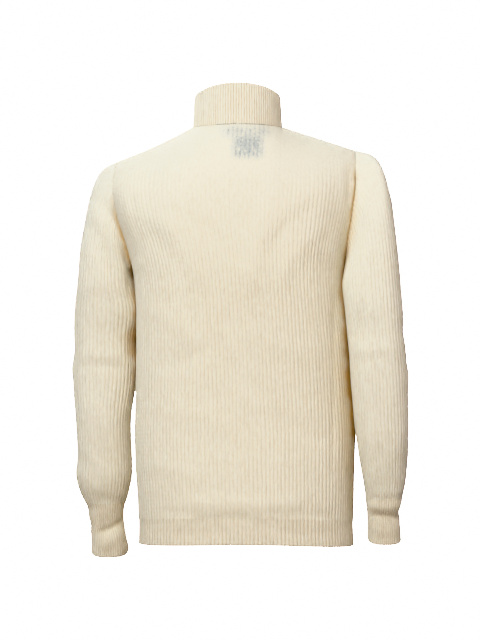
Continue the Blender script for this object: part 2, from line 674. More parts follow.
# %% Closed wall of cloth
EDGE_DEPTH = 0.5  # of the shared edge line, below the valleys
RIM = 1.7  # radius of the rounding towards a free edge
LINKED_RIM = 0.8  # the same where two pieces are linked
TIGHT_RIM = 0.3  # the same where the seam is pulled so tight that it hardly shows
RUN_ON_RIM, RUN_ON_SHARE = 0.25, 0.85  # where one is knitted on to the other, its ribs run on to the edge


def edge_points(cells, wrap):
    """Which grid points lie on an edge of the used cells, and which are used at all."""
    columns, rows = cells.shape[0] + (0 if wrap else 1), cells.shape[1] + 1
    around = np.zeros((columns, rows), int)
    for dc in (0, 1):
        for dr in (0, 1):
            corner = (np.arange(cells.shape[0]) + dc) % columns
            around[np.ix_(corner, np.arange(cells.shape[1]) + dr)] += cells
    return (around > 0) & (around < 4), around > 0


def rounding(points, edge, used, rim):
    """0 on the edges, rising to 1 a rim's width away from them."""
    spots = np.argwhere(edge)
    tree = point_tree(points[edge])
    share = np.ones(edge.shape)
    for c, r in np.argwhere(used & ~edge):
        _, i, distance = tree.find(points[c, r])
        share[c, r] = min(distance / rim[tuple(spots[i])], 1)
    share[edge] = 0
    return np.sqrt(1 - (1 - share) ** 2)


def courses(points):
    """How many stitches lie below each grid point."""
    steps = np.linalg.norm(np.diff(points, axis=1), axis=-1)
    return np.concatenate([np.zeros((len(points), 1)), np.cumsum(steps, axis=1)], axis=1) / COURSE


def wall(name, points, normals, heights, cells, columns, sign, wrap, rim=RIM):
    """A closed wall of ribbed cloth on a grid of points."""
    ribs, peaks = heights
    edge, used = edge_points(cells, wrap)
    rim = np.broadcast_to(np.asarray(rim, float), edge.shape)
    round_over = rounding(points, edge, used, rim)
    deep = WALL - INNER_RIB * (1 - rib_profile(columns[: len(points)] + 1))[:, None]
    tight = np.clip((rim - TIGHT_RIM) / (LINKED_RIM - TIGHT_RIM), 0, 1)
    level = np.where(rim > RUN_ON_RIM, -EDGE_DEPTH * tight, ribs * RUN_ON_SHARE)
    outside = level + (ribs - level) * round_over
    inside = level - (deep + level) * round_over
    outer = points + normals * outside[..., None]
    inner = points + normals * inside[..., None]

    number = np.full(edge.shape, -1)
    number[used] = np.arange(used.sum())
    within = np.where(edge, number, -1)
    hidden = used & ~edge
    within[hidden] = used.sum() + np.arange(hidden.sum())
    places = np.concatenate([outer[used], inner[hidden]])

    c, r = np.nonzero(cells)
    turns = [(0, 0), (1, 0), (1, 1), (0, 1)]
    corners = [((c + dc) % len(points), r + dr) for dc, dr in turns]
    stitches = courses(points)
    ribwise = [np.stack([columns[c + dc] / 2, stitches[i]], axis=-1) for (dc, _), i in zip(turns, corners)]
    faces, texture = [], []
    for grid, order in ((number, sign), (within, -sign)):
        faces.append(np.stack([grid[i] for i in corners][::order], axis=1))
        texture.append(np.stack(ribwise[::order], axis=1))
    shown = 1 - (peaks - outside) / RIB_HEIGHT
    height = np.concatenate([shown[used], ((WALL + inside) / INNER_RIB)[hidden]])
    return mesh_piece(name, places, np.concatenate(faces), np.concatenate(texture), height)


# %% Mesh with a map of its stitches
def show(name, data):
    """An object with this mesh, lamp or camera, in the scene."""
    made = bpy.data.objects.new(name, data)
    bpy.context.scene.collection.objects.link(made)
    return made


def mesh_piece(name, places, faces, texture=None, height=None):
    """A smooth object from points in millimetres, with the stitch map and the rib height on its points."""
    mesh = bpy.data.meshes.new(name)
    mesh.vertices.add(len(places))
    mesh.vertices.foreach_set("co", (places * MM).astype(np.float32).ravel())
    mesh.loops.add(faces.size)
    mesh.loops.foreach_set("vertex_index", faces.astype(np.int32).ravel())
    mesh.polygons.add(len(faces))
    mesh.polygons.foreach_set("loop_start", np.arange(0, faces.size, faces.shape[1], dtype=np.int32))
    mesh.update(calc_edges=True)
    if texture is not None:
        layer = mesh.uv_layers.new(name="stitches")
        layer.data.foreach_set("uv", texture.astype(np.float32).ravel())
    if height is not None:
        shown = mesh.attributes.new("rib", "FLOAT", "POINT")
        shown.data.foreach_set("value", np.clip(height, 0, 1).astype(np.float32))
    mesh.shade_smooth()
    return show(name, mesh)


# %% [markdown]
# ## Wool
#
# Seen close, each rib is a column of V-shaped stitches spun from a soft, hairy yarn. The V's are too many to
# model, so they are a bump that reads the stitch map. The yarn takes colour unevenly, light sinks into the
# valleys, and the fine hair gives a pale sheen at grazing angles. All of it is worked out by nodes.

# %% Node helpers
def node(tree, kind, inputs=None, **settings):
    """A shader node with its settings and inputs. An input is a value or another node's output."""
    made = tree.nodes.new(kind)
    for key, value in settings.items():
        setattr(made, key, value)
    for key, value in (inputs or {}).items():
        if isinstance(value, bpy.types.NodeSocket):
            tree.links.new(value, made.inputs[key])
        else:
            made.inputs[key].default_value = value
    return made


def maths(tree, operation, *values, clamp=False):
    """The result of a Math node."""
    made = node(tree, "ShaderNodeMath", dict(enumerate(values)), operation=operation, use_clamp=clamp)
    return made.outputs[0]


def mixed(tree, share, first, second):
    """Two colours mixed by a share."""
    made = tree.nodes.new("ShaderNodeMix")
    made.data_type = "RGBA"
    for socket, value in ((made.inputs[0], share), (made.inputs[6], first), (made.inputs[7], second)):
        if isinstance(value, bpy.types.NodeSocket):
            tree.links.new(value, socket)
        else:
            socket.default_value = value
    return made.outputs[2]


def noise(tree, place, scale, detail=2.0, roughness=0.5):
    """A noise between 0 and 1 over a place."""
    inputs = {"Vector": place, "Scale": scale, "Detail": detail, "Roughness": roughness}
    return node(tree, "ShaderNodeTexNoise", inputs).outputs["Fac"]


def weighted(tree, value, weight, more):
    """A value times its weight, plus more."""
    return maths(tree, "ADD", maths(tree, "MULTIPLY", value, weight), more)


# %% Starting and finishing a material
def new_material(name, finish):
    """(material, its node tree, its shader, the place on the object), with fixed values set on the shader."""
    made = bpy.data.materials.new(name)
    made.use_nodes = True
    tree, shader = made.node_tree, made.node_tree.nodes["Principled BSDF"]
    for key, value in finish.items():
        shader.inputs[key].default_value = value
    return made, tree, shader, node(tree, "ShaderNodeTexCoord").outputs["Object"]


def colour_between(tree, shader, share, darker, colour):
    """Colour the shader between a darker shade of a colour and the colour itself."""
    dark = tuple(value * darker for value in colour)
    tree.links.new(mixed(tree, share, (*dark, 1), (*colour, 1)), shader.inputs["Base Color"])


def roughen(tree, shader, height, strength, distance):
    """Show a height as relief: distance is how many metres a height of 1 stands for."""
    bump = node(tree, "ShaderNodeBump", {"Height": height, "Strength": strength, "Distance": distance})
    tree.links.new(bump.outputs[0], shader.inputs["Normal"])


# %% Height of the stitches
STITCH_SLANT, LOOP_ROUNDNESS = 0.42, 0.6
GROOVE_SHARPNESS, GROOVE_DEPTH = 9.0, 0.45  # of the groove between a V's two legs, on the crest of a rib


def stitch_height(tree):
    """Height of the V-shaped stitches, from the stitch map."""
    uv = node(tree, "ShaderNodeUVMap", uv_map="stitches")
    split = node(tree, "ShaderNodeSeparateXYZ", {0: uv.outputs[0]})
    rib, course = split.outputs[0], split.outputs[1]
    from_peak = maths(tree, "ABSOLUTE", maths(tree, "SUBTRACT", maths(tree, "FRACT", rib), 0.5))
    slanted = weighted(tree, from_peak, 2 * STITCH_SLANT, course)
    loop = maths(tree, "ABSOLUTE", maths(tree, "SINE", maths(tree, "MULTIPLY", slanted, math.pi)))
    leg = maths(tree, "MULTIPLY", from_peak, GROOVE_SHARPNESS, clamp=True)
    groove = weighted(tree, leg, GROOVE_DEPTH, 1 - GROOVE_DEPTH)
    return maths(tree, "MULTIPLY", maths(tree, "POWER", loop, LOOP_ROUNDNESS), groove)


# %% Wool material
CREAM = (0.83, 0.775, 0.635)
VALLEY = (0.57, 0.455, 0.285)
GOLDEN = (0.52, 0.33, 0.11)  # where light has gone back and forth between two pieces


WOOL_FINISH = {
    "Roughness": 0.92,
    "Specular IOR Level": 0.18,
    "Sheen Weight": 0.22,
    "Sheen Roughness": 0.55,
    "Sheen Tint": (1.0, 0.96, 0.88, 1),
}
UNEVEN_WOOL = (
    # scale, detail, roughness, how much of its scale it has up the ribs, weight
    (330.0, 4.0, 0.65, 1.0, 0.42),  # the yarn
    (420.0, 3.0, 0.6, 0.2, 0.75),  # streaks along the ribs
    (9.0, 3.0, 0.5, 1.0, 0.16),  # the dye
)
VALLEY_POWER, STITCH_GAPS = 1.6, 0.10
FUZZ_SCALE, STITCH_RELIEF, FUZZ_RELIEF = 1500.0, 0.75, 0.25


def drawn_out(tree, place, up):
    """A place on which patterns are drawn out up the ribs, where up is less than 1."""
    return node(tree, "ShaderNodeMapping", {"Vector": place, "Scale": (1.0, 1.0, up)}).outputs[0]


def knit_material(name, cream=CREAM, sink=0.42, tint=None):
    """Cream wool in a rib stitch. sink is how dark the valleys are; tint may change the colour node."""
    made, tree, shader, place = new_material(name, WOOL_FINISH)
    rib = node(tree, "ShaderNodeAttribute", attribute_name="rib").outputs["Fac"]
    stitch = stitch_height(tree)
    depth = maths(tree, "POWER", maths(tree, "SUBTRACT", 1.0, rib, clamp=True), VALLEY_POWER)
    gaps = maths(tree, "MULTIPLY", maths(tree, "SUBTRACT", 1.0, stitch), STITCH_GAPS)
    shade = weighted(tree, depth, sink, gaps)
    for scale, detail, roughness, up, weight in UNEVEN_WOOL:
        uneven = noise(tree, drawn_out(tree, place, up), scale, detail, roughness)
        shade = weighted(tree, maths(tree, "SUBTRACT", uneven, 0.5), weight, shade)
    shade = maths(tree, "ADD", shade, 0.0, clamp=True)
    colour = mixed(tree, shade, (*cream, 1), (*VALLEY, 1))
    hollow = node(tree, "ShaderNodeAttribute", attribute_name="hollow").outputs["Fac"]
    colour = mixed(tree, hollow, colour, (*GOLDEN, 1))
    if tint:
        colour = tint(tree, place, colour)
    tree.links.new(colour, shader.inputs["Base Color"])
    fuzz = maths(tree, "MULTIPLY", noise(tree, place, FUZZ_SCALE, roughness=0.7), FUZZ_RELIEF)
    roughen(tree, shader, weighted(tree, stitch, STITCH_RELIEF, fuzz), strength=0.55, distance=0.0006)
    return made


# %% [markdown]
# The labels inside the neck are darker than the wool, so they show through the back as a pale grey patch.
# See-through wool would be slow and speckled. We paint the patch where the labels lie, read from the frame,
# and let the stitches break it up.

# %% Labels seen through the wool
SHOW_THROUGH = (0.47, 0.48, 0.44)
THREAD_SHADOW = (0.27, 0.28, 0.28)
LABELS_SHOWN = (("neck_label", 0.016, 0.55), ("care_label", 0.014, 0.95))  # node, blur in metres, strength


def inside_box(tree, place, low, high, blur):
    """1 inside a box in x and z and 0 outside it, with a soft border."""
    split = node(tree, "ShaderNodeSeparateXYZ", {0: place})
    share = None
    for socket, a, b in ((split.outputs[0], low[0], high[0]), (split.outputs[2], low[2], high[2])):
        for value, limit, sign in ((socket, a, 1), (socket, b, -1)):
            away = maths(tree, "MULTIPLY", maths(tree, "SUBTRACT", value, limit), sign / blur)
            step = maths(tree, "ADD", away, 0.5, clamp=True)
            share = step if share is None else maths(tree, "MULTIPLY", share, step)
    return share


def sharpened(tree, value, start, gain):
    """0 up to a start and then rising, gain times as fast as the value, to 1."""
    return maths(tree, "MULTIPLY", maths(tree, "SUBTRACT", value, start), gain, clamp=True)


def label_tint(tree, place, colour):
    """The colour of the back with its labels showing through, most of all in the thin valleys."""
    uv = node(tree, "ShaderNodeUVMap", uv_map="stitches").outputs[0]
    column = maths(tree, "FRACT", node(tree, "ShaderNodeSeparateXYZ", {0: uv}).outputs[0])
    valley = maths(tree, "MULTIPLY", maths(tree, "ABSOLUTE", maths(tree, "SUBTRACT", column, 0.5)), 2.0)
    valley = maths(tree, "POWER", valley, 2.0)
    specks = sharpened(tree, noise(tree, place, 520.0, roughness=0.6), start=0.42, gain=6.0)
    ragged = sharpened(tree, noise(tree, drawn_out(tree, place, 0.12), 300.0), start=0.14, gain=2.6)
    dots = maths(tree, "MULTIPLY", weighted(tree, valley, 0.9, 0.1), specks)
    for label, blur, strength in LABELS_SHOWN:
        low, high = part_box(label)
        share = maths(tree, "MULTIPLY", inside_box(tree, place, low, high, blur), ragged)
        colour = mixed(tree, maths(tree, "MULTIPLY", share, strength), colour, (*SHOW_THROUGH, 1))
        colour = mixed(tree, maths(tree, "MULTIPLY", share, dots), colour, (*THREAD_SHADOW, 1))
    return colour


# %% The wool of each piece
SLEEVE_CREAM, TRIM_CREAM, COLLAR_CREAM = (0.843, 0.80, 0.67), (0.82, 0.76, 0.62), (0.82, 0.77, 0.645)
back_wool = knit_material("back_wool", tint=label_tint)
body_wool = knit_material("body_wool")
sleeve_wool = knit_material("sleeve_wool", cream=SLEEVE_CREAM)
trim_wool = knit_material("trim_wool", cream=TRIM_CREAM, sink=0.7)
collar_wool = knit_material("collar_wool", cream=COLLAR_CREAM, sink=1.05)
print("the back's wool has", len(back_wool.node_tree.nodes), "nodes")

# %% [markdown]
# ## Back and front
#
# Both panels are knitted flat and shaped at the armholes and the neck. Their grid is fine across the ribs,
# six points to a rib, and coarser along them, where the cloth only bends slowly. The armholes and the zip
# opening could be cut with booleans, but leaving their cells out of the grid keeps every rib whole.

# %% Making a panel
LOWER_STEPS = (13, 20, 20)
ROW_STEPS = LOWER_STEPS + (7,) * MIDDLE_ROWS + (5,) * UPPER_ROWS
PANEL_ANCHORS = (0, ZIP_COLUMN, NECK_COLUMN, ARM_COLUMN, HALF)
SEAM_SHOWS_FROM = {1: -108.0, -1: -72.0}  # the height below which the seam round an armhole shows
SEAM_WIDENS_OVER = 16.0  # the height over which it grows to its full width
SEAM_COLUMNS = 4  # beside the armhole
KNIT_SEED = {"back": 0.7, "front": 2.9, "left": 4.4, "right": 5.6, "collar": 1.3, "hem": 3.3}
NEAR_PARTS = 0.25, 0.65  # where the two more rows near an edge lie
PANEL_EDGES = ((0, 0.02), (ARM_ROW, 0.08), (PANEL_ROWS, 0.08))  # row of an edge, and how near they come


def fine_rows(steps, near=()):
    """Row numbers with so many steps in each row, and two more near each row that holds an edge."""
    rows = {r + i / count for r, count in enumerate(steps) for i in range(count)} | {float(len(steps))}
    for row, gap in near:
        rows |= {row + side * gap * part for side in (-1, 1) for part in NEAR_PARTS}
    return np.array(sorted(r for r in rows if 0 <= r <= len(steps)))


def panel_points(panel, column, row):
    """The points of a panel, its ribs drifting a little."""
    z = panel_surface(panel, column, row)[..., 2]
    return panel_surface(panel, column + drift(column, z, KNIT_SEED[panel], PANEL_ANCHORS), row)


def shoulder_rim(side, z):
    """The rim of an armhole seam: tight over the shoulder and wider lower down."""
    top = np.where(side < 0, SEAM_SHOWS_FROM[-1], SEAM_SHOWS_FROM[1])
    return TIGHT_RIM + (LINKED_RIM - TIGHT_RIM) * ease((top - z) / SEAM_WIDENS_OVER)


def rim_of_panel(panel, column, row, z):
    """All the edges of a panel are linked, but for those of the zip opening."""
    free = (np.abs(column) <= ZIP_COLUMN + 1) & (row >= ZIP_ROW) & (row < PANEL_ROWS) & (panel == "front")
    armhole = (np.abs(column) > ARM_COLUMN - SEAM_COLUMNS) & (row < PANEL_ROWS)
    rim = np.where(free, RIM, np.where(armhole, shoulder_rim(column, z), LINKED_RIM))
    return np.where(row < 1, RUN_ON_RIM, rim)


def make_panel(panel, material):
    """The back or the front, from the hem band to the neck, the shoulders and the armholes."""
    columns = np.arange(-HALF * POINTS_A_COLUMN, HALF * POINTS_A_COLUMN + 1) / POINTS_A_COLUMN
    rows = fine_rows(ROW_STEPS, near=PANEL_EDGES)
    column, row = np.meshgrid(columns, rows, indexing="ij")
    sign = -1 if panel == "back" else 1
    points, normals = creased("body", panel_points(panel, column, row), sign, False)
    middle, level = (columns[1:] + columns[:-1]) / 2, (rows[1:] + rows[:-1]) / 2
    cells = ~((np.abs(middle) > ARM_COLUMN)[:, None] & (level > ARM_ROW)[None, :])
    if panel == "front":
        cells &= ~((np.abs(middle) < ZIP_COLUMN)[:, None] & (level > ZIP_ROW)[None, :])
    stretch = STRETCHED_BACK if panel == "back" else STRETCHED_FRONT
    ribs = rib_height(column, points[..., 2], KNIT_SEED[panel], stretch)
    rim = rim_of_panel(panel, column, row, points[..., 2])
    made = wall(f"{panel}_cloth", points, normals, ribs, cells, columns, sign, False, rim)
    made.data.materials.append(material)
    return made, points, cells


def faces_of(piece):
    """How many triangles a piece has."""
    return sum(len(polygon.vertices) - 2 for polygon in piece.data.polygons)


back_cloth, back_points, back_cells = make_panel("back", back_wool)
front_cloth, front_points, front_cells = make_panel("front", body_wool)
print("back:", faces_of(back_cloth), "triangles, front:", faces_of(front_cloth))

# %% [markdown]
# ## Flat sizes
#
# Every piece of cloth is declared with the size it was knitted to before it was sewn. A ribbed piece has no
# plain pattern, so we measure it along its own grid: its widest level row, its longest column, and the sum
# of its cells for the area.

# %% Measuring a flat cut
LEVEL = 20.0  # a row that rises more than this follows a curved edge


def flat_cut(points, cells, wrap):
    """(width, length, area) of a grid in metres. The width is that of a level row, where there is one."""
    ring = np.concatenate([points, points[:1]]) if wrap else points
    across = np.linalg.norm(np.diff(ring, axis=0), axis=-1)
    upward = np.linalg.norm(np.diff(ring, axis=1), axis=-1)
    level = np.ptp(points[:, :-1, 2], axis=0) < LEVEL
    widths = (across[:, :-1] * cells).sum(axis=0)
    width = widths[level].max() if level.any() else widths.max()
    length = (upward[:-1] * cells).sum(axis=1).max()
    sizes = (across[:, :-1] + across[:, 1:]) / 2 * (upward[:-1] + upward[1:]) / 2
    return width * MM, length * MM, (sizes * cells).sum() * MM * MM


def declare_cloth(piece, points, cells, wrap, node_name):
    """The piece rides on the garment, stands for its node and is declared as a sheet."""
    width, length, area = flat_cut(points, cells, wrap)
    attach(piece, "garment")
    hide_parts(node_name)
    min(area, width * length)
    print(f"{piece.name}: flat {width * 1000:.0f} x {length * 1000:.0f} mm, {area * 1e4:.0f} cm2")


declare_cloth(back_cloth, back_points, back_cells, False, "back_panel")
declare_cloth(front_cloth, front_points, front_cells, False, "front_panel")

# %% [markdown]
# ## Hem band
#
# The band is knitted on to the panels with tighter stitches, so its ribs run on from theirs and it draws the
# bottom of the sweater in a little. It could be part of the panels, but it is made as it is knitted: one
# ring, all the way round.

# %% Making the hem band
HEM_STEPS, HEM_EDGES = 9, ((0, 0.05), (1, 0.02))
HEM_DRAW = 0.8  # how far the band is drawn in below the panels


def hem_points(column, rise):
    """A ring of the hem: the back from right to left, then the front from left to right."""
    rounds = []
    for panel, c in (("back", column), ("front", -column)):
        z = hem_line(panel, c / HALF) + HEM_HEIGHT * rise
        c = c + drift(c, z, KNIT_SEED[panel], PANEL_ANCHORS)
        x, y = body_section(panel, c / HALF, z)
        rounds.append(np.stack([x, y, z], axis=-1))
    return np.concatenate(rounds)


def make_hem(material):
    """The hem band, as one ring."""
    column = np.arange(-HALF * POINTS_A_COLUMN, HALF * POINTS_A_COLUMN) / POINTS_A_COLUMN
    rises = fine_rows((HEM_STEPS,), near=HEM_EDGES)
    points = np.stack([hem_points(column, np.full(len(column), r)) for r in rises], axis=1)
    points, normals = creased("body", points, -1, True)
    draw = HEM_DRAW * ease((1 - rises) * 6)
    points = points - normals * draw[None, :, None]
    cells = np.ones((len(points), len(rises) - 1), bool)
    columns = np.arange(2 * len(column) + 1) / POINTS_A_COLUMN
    ribs = rib_height(columns[:-1, None], points[..., 2], KNIT_SEED["hem"])
    rim = np.where(rises > 0.5, RUN_ON_RIM, RIM)[None, :]
    made = wall("hem_cloth", points, normals, ribs, cells, columns, -1, True, rim)
    made.data.materials.append(material)
    return made, points, cells


hem_cloth, hem_grid, hem_cells = make_hem(trim_wool)
panels = [back_cloth, front_cloth]
declare_cloth(hem_cloth, hem_grid, hem_cells, True, "hem_band")

# %% [markdown]
# ## Sleeves
#
# A sleeve is a tube of rings. Below the armpit each ring comes from a table, like the body. Above it, the cap
# has to run from the armhole's edge to the first ring: it leaves the shoulder squarely, and under the arm it
# hangs straight down. The two are blended by how high on the armhole each rib starts. A tube bent along a
# curve would be quicker, but its end would not follow the armhole.

# %% Arm sections
ARM = {
    # z, centre_x, half_width, centre_y, half_depth, tilt
    1: (
        (-710, 217.0, 30.5, -75, 41, 0.20),
        (-670, 218.2, 28.6, -70, 40, 0.18),
        (-638, 221.6, 28.9, -66, 40, 0.15),
        (-618, 221.8, 31.2, -64, 42, 0.13),
        (-606, 222.6, 36.6, -62, 44, 0.12),
        (-589, 224.0, 42.0, -60, 47, 0.10),
        (-573, 223.3, 44.6, -58, 49, 0.09),
        (-541, 223.3, 44.8, -55, 50, 0.06),
        (-476, 225.4, 45.8, -50, 52, 0.03),
        (-412, 223.0, 52.2, -49, 53, 0.0),
        (-347, 221.9, 52.0, -46, 54, 0.0),
        (-291, 220.6, 51.0, -40, 55, 0.0),
        (-262, 222.0, 46.0, -32, 55, 0.0),
    ),
    -1: (
        (-700, -231.6, 27.5, 14, 40, 0.18),
        (-670, -230.9, 27.4, 18, 39, 0.16),
        (-638, -229.8, 26.6, 22, 39, 0.14),
        (-618, -229.2, 27.4, 25, 41, 0.12),
        (-606, -229.5, 29.2, 27, 43, 0.11),
        (-589, -230.0, 31.4, 29, 46, 0.10),
        (-573, -230.2, 34.4, 31, 48, 0.08),
        (-541, -228.0, 38.0, 35, 50, 0.06),
        (-476, -225.0, 43.6, 39, 52, 0.03),
        (-412, -222.4, 45.2, 41, 53, 0.0),
        (-347, -217.4, 45.6, 41, 54, 0.0),
        (-291, -213.4, 45.8, 40, 55, 0.0),
        (-262, -211.4, 45.4, 38, 55, 0.0),
    ),
}
SLEEVE_FOLDS = (
    # arm, angle, z, width in angle, width in height, height
    (1, 166, -352, 22, 20, -5.0),
    (1, 138, -285, 26, 48, 4.0),
    (1, 110, -300, 60, 22, 2.5),
    (1, 250, -365, 50, 20, -4.5),
    (1, 60, -570, 80, 22, 2.0),
    (-1, 120, -330, 45, 26, -4.0),
    (-1, 240, -370, 50, 22, -5.0),
    (-1, 80, -500, 60, 24, 2.0),
)
ARM_START_Z = -262.0
CUFF_TOP_Z = {1: -609.0, -1: -597.0}
CUFF_END_Z = {1: -696.0, -1: -669.0}


ARM_SHARE, ARM_ACROSS, ARM_DEEP = quarter_section(power=2.6, aspect=0.9)


def arm_ring(arm, angle, z):
    """Round a sleeve at the height z. The angle runs from its outer side over the back."""
    centre_x, half_width, centre_y, half_depth, tilt = along(ARM[arm], z)
    half_turn = np.abs((angle % math.pi) / (math.pi / 2) - 1)
    across = np.interp(half_turn, ARM_SHARE, ARM_ACROSS) * np.sign(np.cos(angle))
    deep = np.interp(half_turn, ARM_SHARE, ARM_DEEP) * np.sign(np.sin(angle))
    half_width, half_depth = half_width - RIB_HEIGHT, half_depth - RIB_HEIGHT
    swell = np.zeros(np.broadcast(angle, z).shape)
    degrees = np.degrees(angle) % 360
    for which, at, level, wide, high, height in SLEEVE_FOLDS:
        if which == arm:
            turn = np.abs((degrees - at + 180) % 360 - 180)
            swell += height * np.exp(-((turn / wide) ** 2) - ((z - level) / high) ** 2)
    x = centre_x + arm * (half_width + swell) * across
    y = centre_y + (half_depth + swell) * deep
    return np.stack([x, y, z - tilt * (y - centre_y)], axis=-1)


# %% The cap of a sleeve
SLEEVE_HEAD_SLOPE = math.radians(28)
SLEEVE_HEAD_CORNER = {1: 0.66, -1: 0.58}
SLEEVE_HEAD_DROP = {1: (0.12, 4.0), -1: (0.08, 4.8)}  # how soon the cap slopes down, and how squarely
SLEEVE_HEAD_FALL = 1.2
SLEEVE_EASE = 1.3
ARMPIT_SPREAD = 0.45
LEAVE_PULL, ARRIVE_PULL = 0.95, 1.05
RING_STEP = 8.0


def armhole_share(angle):
    """Which share of the way round the armhole a rib of the sleeve starts at."""
    turn = (angle / (2 * math.pi)) % 1
    half = np.where(turn <= 0.5, turn, 1 - turn) * 2
    share = half**SLEEVE_EASE / 2
    return np.where(turn <= 0.5, share, 1 - share)


def sleeve_cap(arm, angle, steps):
    """Rings of the cap, from 0 on the armhole to 1 on the first full ring."""
    loop, outward = armhole_loop(arm)
    carried = spread_round(np.concatenate([loop, outward], axis=1), armhole_share(angle))
    start, normal = carried[:, :3], unit(carried[:, 3:])
    end = arm_ring(arm, angle, np.full(len(angle), ARM_START_Z))
    height = (start[:, 2:] - ARMPIT_Z) / (SHOULDER_TIP[arm][1] - ARMPIT_Z)
    height = np.clip(height, 0, 1) ** SLEEVE_HEAD_FALL
    out = np.array([arm * math.cos(SLEEVE_HEAD_SLOPE), 0, -math.sin(SLEEVE_HEAD_SLOPE)])
    down = unit(np.array([arm * ARMPIT_SPREAD, 0, -1.0]))
    leave = height * out + (1 - height) * down
    leave = unit(leave - height * np.sum(leave * normal, axis=1, keepdims=True) * normal)
    below = arm_ring(arm, angle, np.full(len(angle), ARM_START_Z - RING_STEP))
    arrive = unit(below - end)
    reach = np.linalg.norm(end - start, axis=1, keepdims=True)
    rings = []
    for t in steps:
        hanging = smooth_curve(t, start, LEAVE_PULL * reach * leave, end, ARRIVE_PULL * reach * arrive)
        corner = t ** SLEEVE_HEAD_CORNER[arm]
        soon, power = SLEEVE_HEAD_DROP[arm]
        drop = soon * corner + (1 - soon) * corner**power
        squared = start + (end - start) * np.array([corner, corner, drop])
        rings.append(height * squared + (1 - height) * hanging)
    return rings


# %% Making the sleeves
CAP_STEPS, CUFF_STEPS = 22, 22
CAP_EDGE_STEPS = 0, 0.004, 0.012, 0.025  # close together, as the cloth rounds over there
SEAM_RINGS, RUN_ON_RINGS = 9, 12  # how many rings belong to the armhole seam, and to the top of a cuff
RUN_ON_GAPS, CUFF_END_GAPS = (0.6, 0.25), (1.2, 0.4)  # of the last rings before an edge
SIDE_NAME = {1: "left", -1: "right"}


def sleeve_angles(arm, z):
    """The angles of the fine grid at a height, with the ribs drifting a little."""
    column = np.arange(2 * SLEEVE_RIBS * POINTS_A_COLUMN) / POINTS_A_COLUMN
    return (column + drift(column, z, KNIT_SEED[SIDE_NAME[arm]])) * math.pi / SLEEVE_RIBS


def tube_grid(arm, levels):
    """Rings of an arm at these heights."""
    around = 2 * SLEEVE_RIBS * POINTS_A_COLUMN
    return [arm_ring(arm, sleeve_angles(arm, z), np.full(around, z)) for z in levels]


def make_tube(name, arm, rings, material, rim):
    """(piece, grid, cells) of a sleeve or a cuff, from its rings."""
    points = np.stack(rings, axis=1)
    points, normals = creased(f"{SIDE_NAME[arm]}_arm", points, -arm, True)
    columns = np.arange(len(points) + 1) / POINTS_A_COLUMN
    cells = np.ones((len(points), len(rings) - 1), bool)
    ribs = rib_height(columns[:-1, None], points[..., 2], KNIT_SEED[SIDE_NAME[arm]], STRETCHED_SLEEVE)
    made = wall(name, points, normals, ribs, cells, columns, -arm, True, rim)
    made.data.materials.append(material)
    return made, points, cells


def make_sleeve(arm, material):
    """A sleeve, from the armhole to the top of its cuff."""
    steps = np.concatenate([CAP_EDGE_STEPS, np.linspace(0, 1, CAP_STEPS + 1)[1:-1]])
    rings = sleeve_cap(arm, sleeve_angles(arm, ARM_START_Z), steps)
    top, end = ARM_START_Z, CUFF_TOP_Z[arm]
    count = round((top - end) / ROW_STEP)
    levels = [top + (end - top) * i / count for i in range(count)] + [end + gap for gap in (*RUN_ON_GAPS, 0)]
    rings += tube_grid(arm, levels)
    rim = shoulder_rim(arm, rings[0][:, 2])[:, None] * (np.arange(len(rings)) < SEAM_RINGS)
    return make_tube(f"sleeve_{SIDE_NAME[arm]}_cloth", arm, rings, material, np.maximum(rim, RUN_ON_RIM))


def make_cuff(arm, material):
    """A cuff, from the end of its sleeve to the wrist."""
    top, end = CUFF_TOP_Z[arm], CUFF_END_Z[arm]
    levels = [top - gap for gap in (0, *reversed(RUN_ON_GAPS))]
    levels += [top + (end - top) * i / CUFF_STEPS for i in range(1, CUFF_STEPS)]
    levels += [end + gap for gap in (*CUFF_END_GAPS, 0)]
    rim = np.where(np.arange(len(levels)) < RUN_ON_RINGS, RUN_ON_RIM, RIM)[None, :]
    return make_tube(f"cuff_{SIDE_NAME[arm]}_cloth", arm, tube_grid(arm, levels), material, rim)


for arm in (1, -1):
    word = SIDE_NAME[arm]
    sleeve, sleeve_grid, sleeve_cells = make_sleeve(arm, sleeve_wool)
    declare_cloth(sleeve, sleeve_grid, sleeve_cells, True, f"sleeve_{word}")
    cuff, cuff_grid, cuff_cells = make_cuff(arm, trim_wool)
    declare_cloth(cuff, cuff_grid, cuff_cells, True, f"cuff_{word}")
    print(word, "sleeve and cuff:", faces_of(sleeve), faces_of(cuff), "triangles")

# %% [markdown]
# Between a sleeve and the body light goes back and forth from wool to wool, and comes out darker and more
# golden each time. A renderer follows only a few of those turns, so we also store how close each point lies
# to the neighbouring piece and let the material warm its colour there.

# %% Golden hollows
HOLLOW_WIDTH, HOLLOW_SHARE, HOLLOW_UNEVEN = 5.5, 0.85, 0.35
IN_FRONT = 0.3  # share of it on the outer piece: the back at the left sleeve, the sleeve at the right
GLOW_WIDTH, GLOW_SHARE = 30.0, {1: 0.06, -1: 0.34}  # a fainter warmth reaches further, but only lower down
GLOW_TOP = -290.0, -420.0
ELBOW_HOLLOW = {1: (-353.0, 26.0, 1.6), -1: (-400.0, 60.0, 0.3)}  # height, reach, how much wider it is
HOLLOW_TOP = {1: (-100.0, -170.0), -1: (-66.0, -90.0)}  # where it starts below the shoulder, and is full
HOLLOW_X = 0.11, 0.225  # how many metres from the middle it lies
HOLLOW_WAVES = 7, 19  # its width changes over these heights


def ray_tree(piece):
    """A piece's mesh, ready for rays and distances."""
    shape = bmesh.new()
    shape.from_mesh(piece.data)
    tree = BVHTree.FromBMesh(shape)
    shape.free()
    return tree


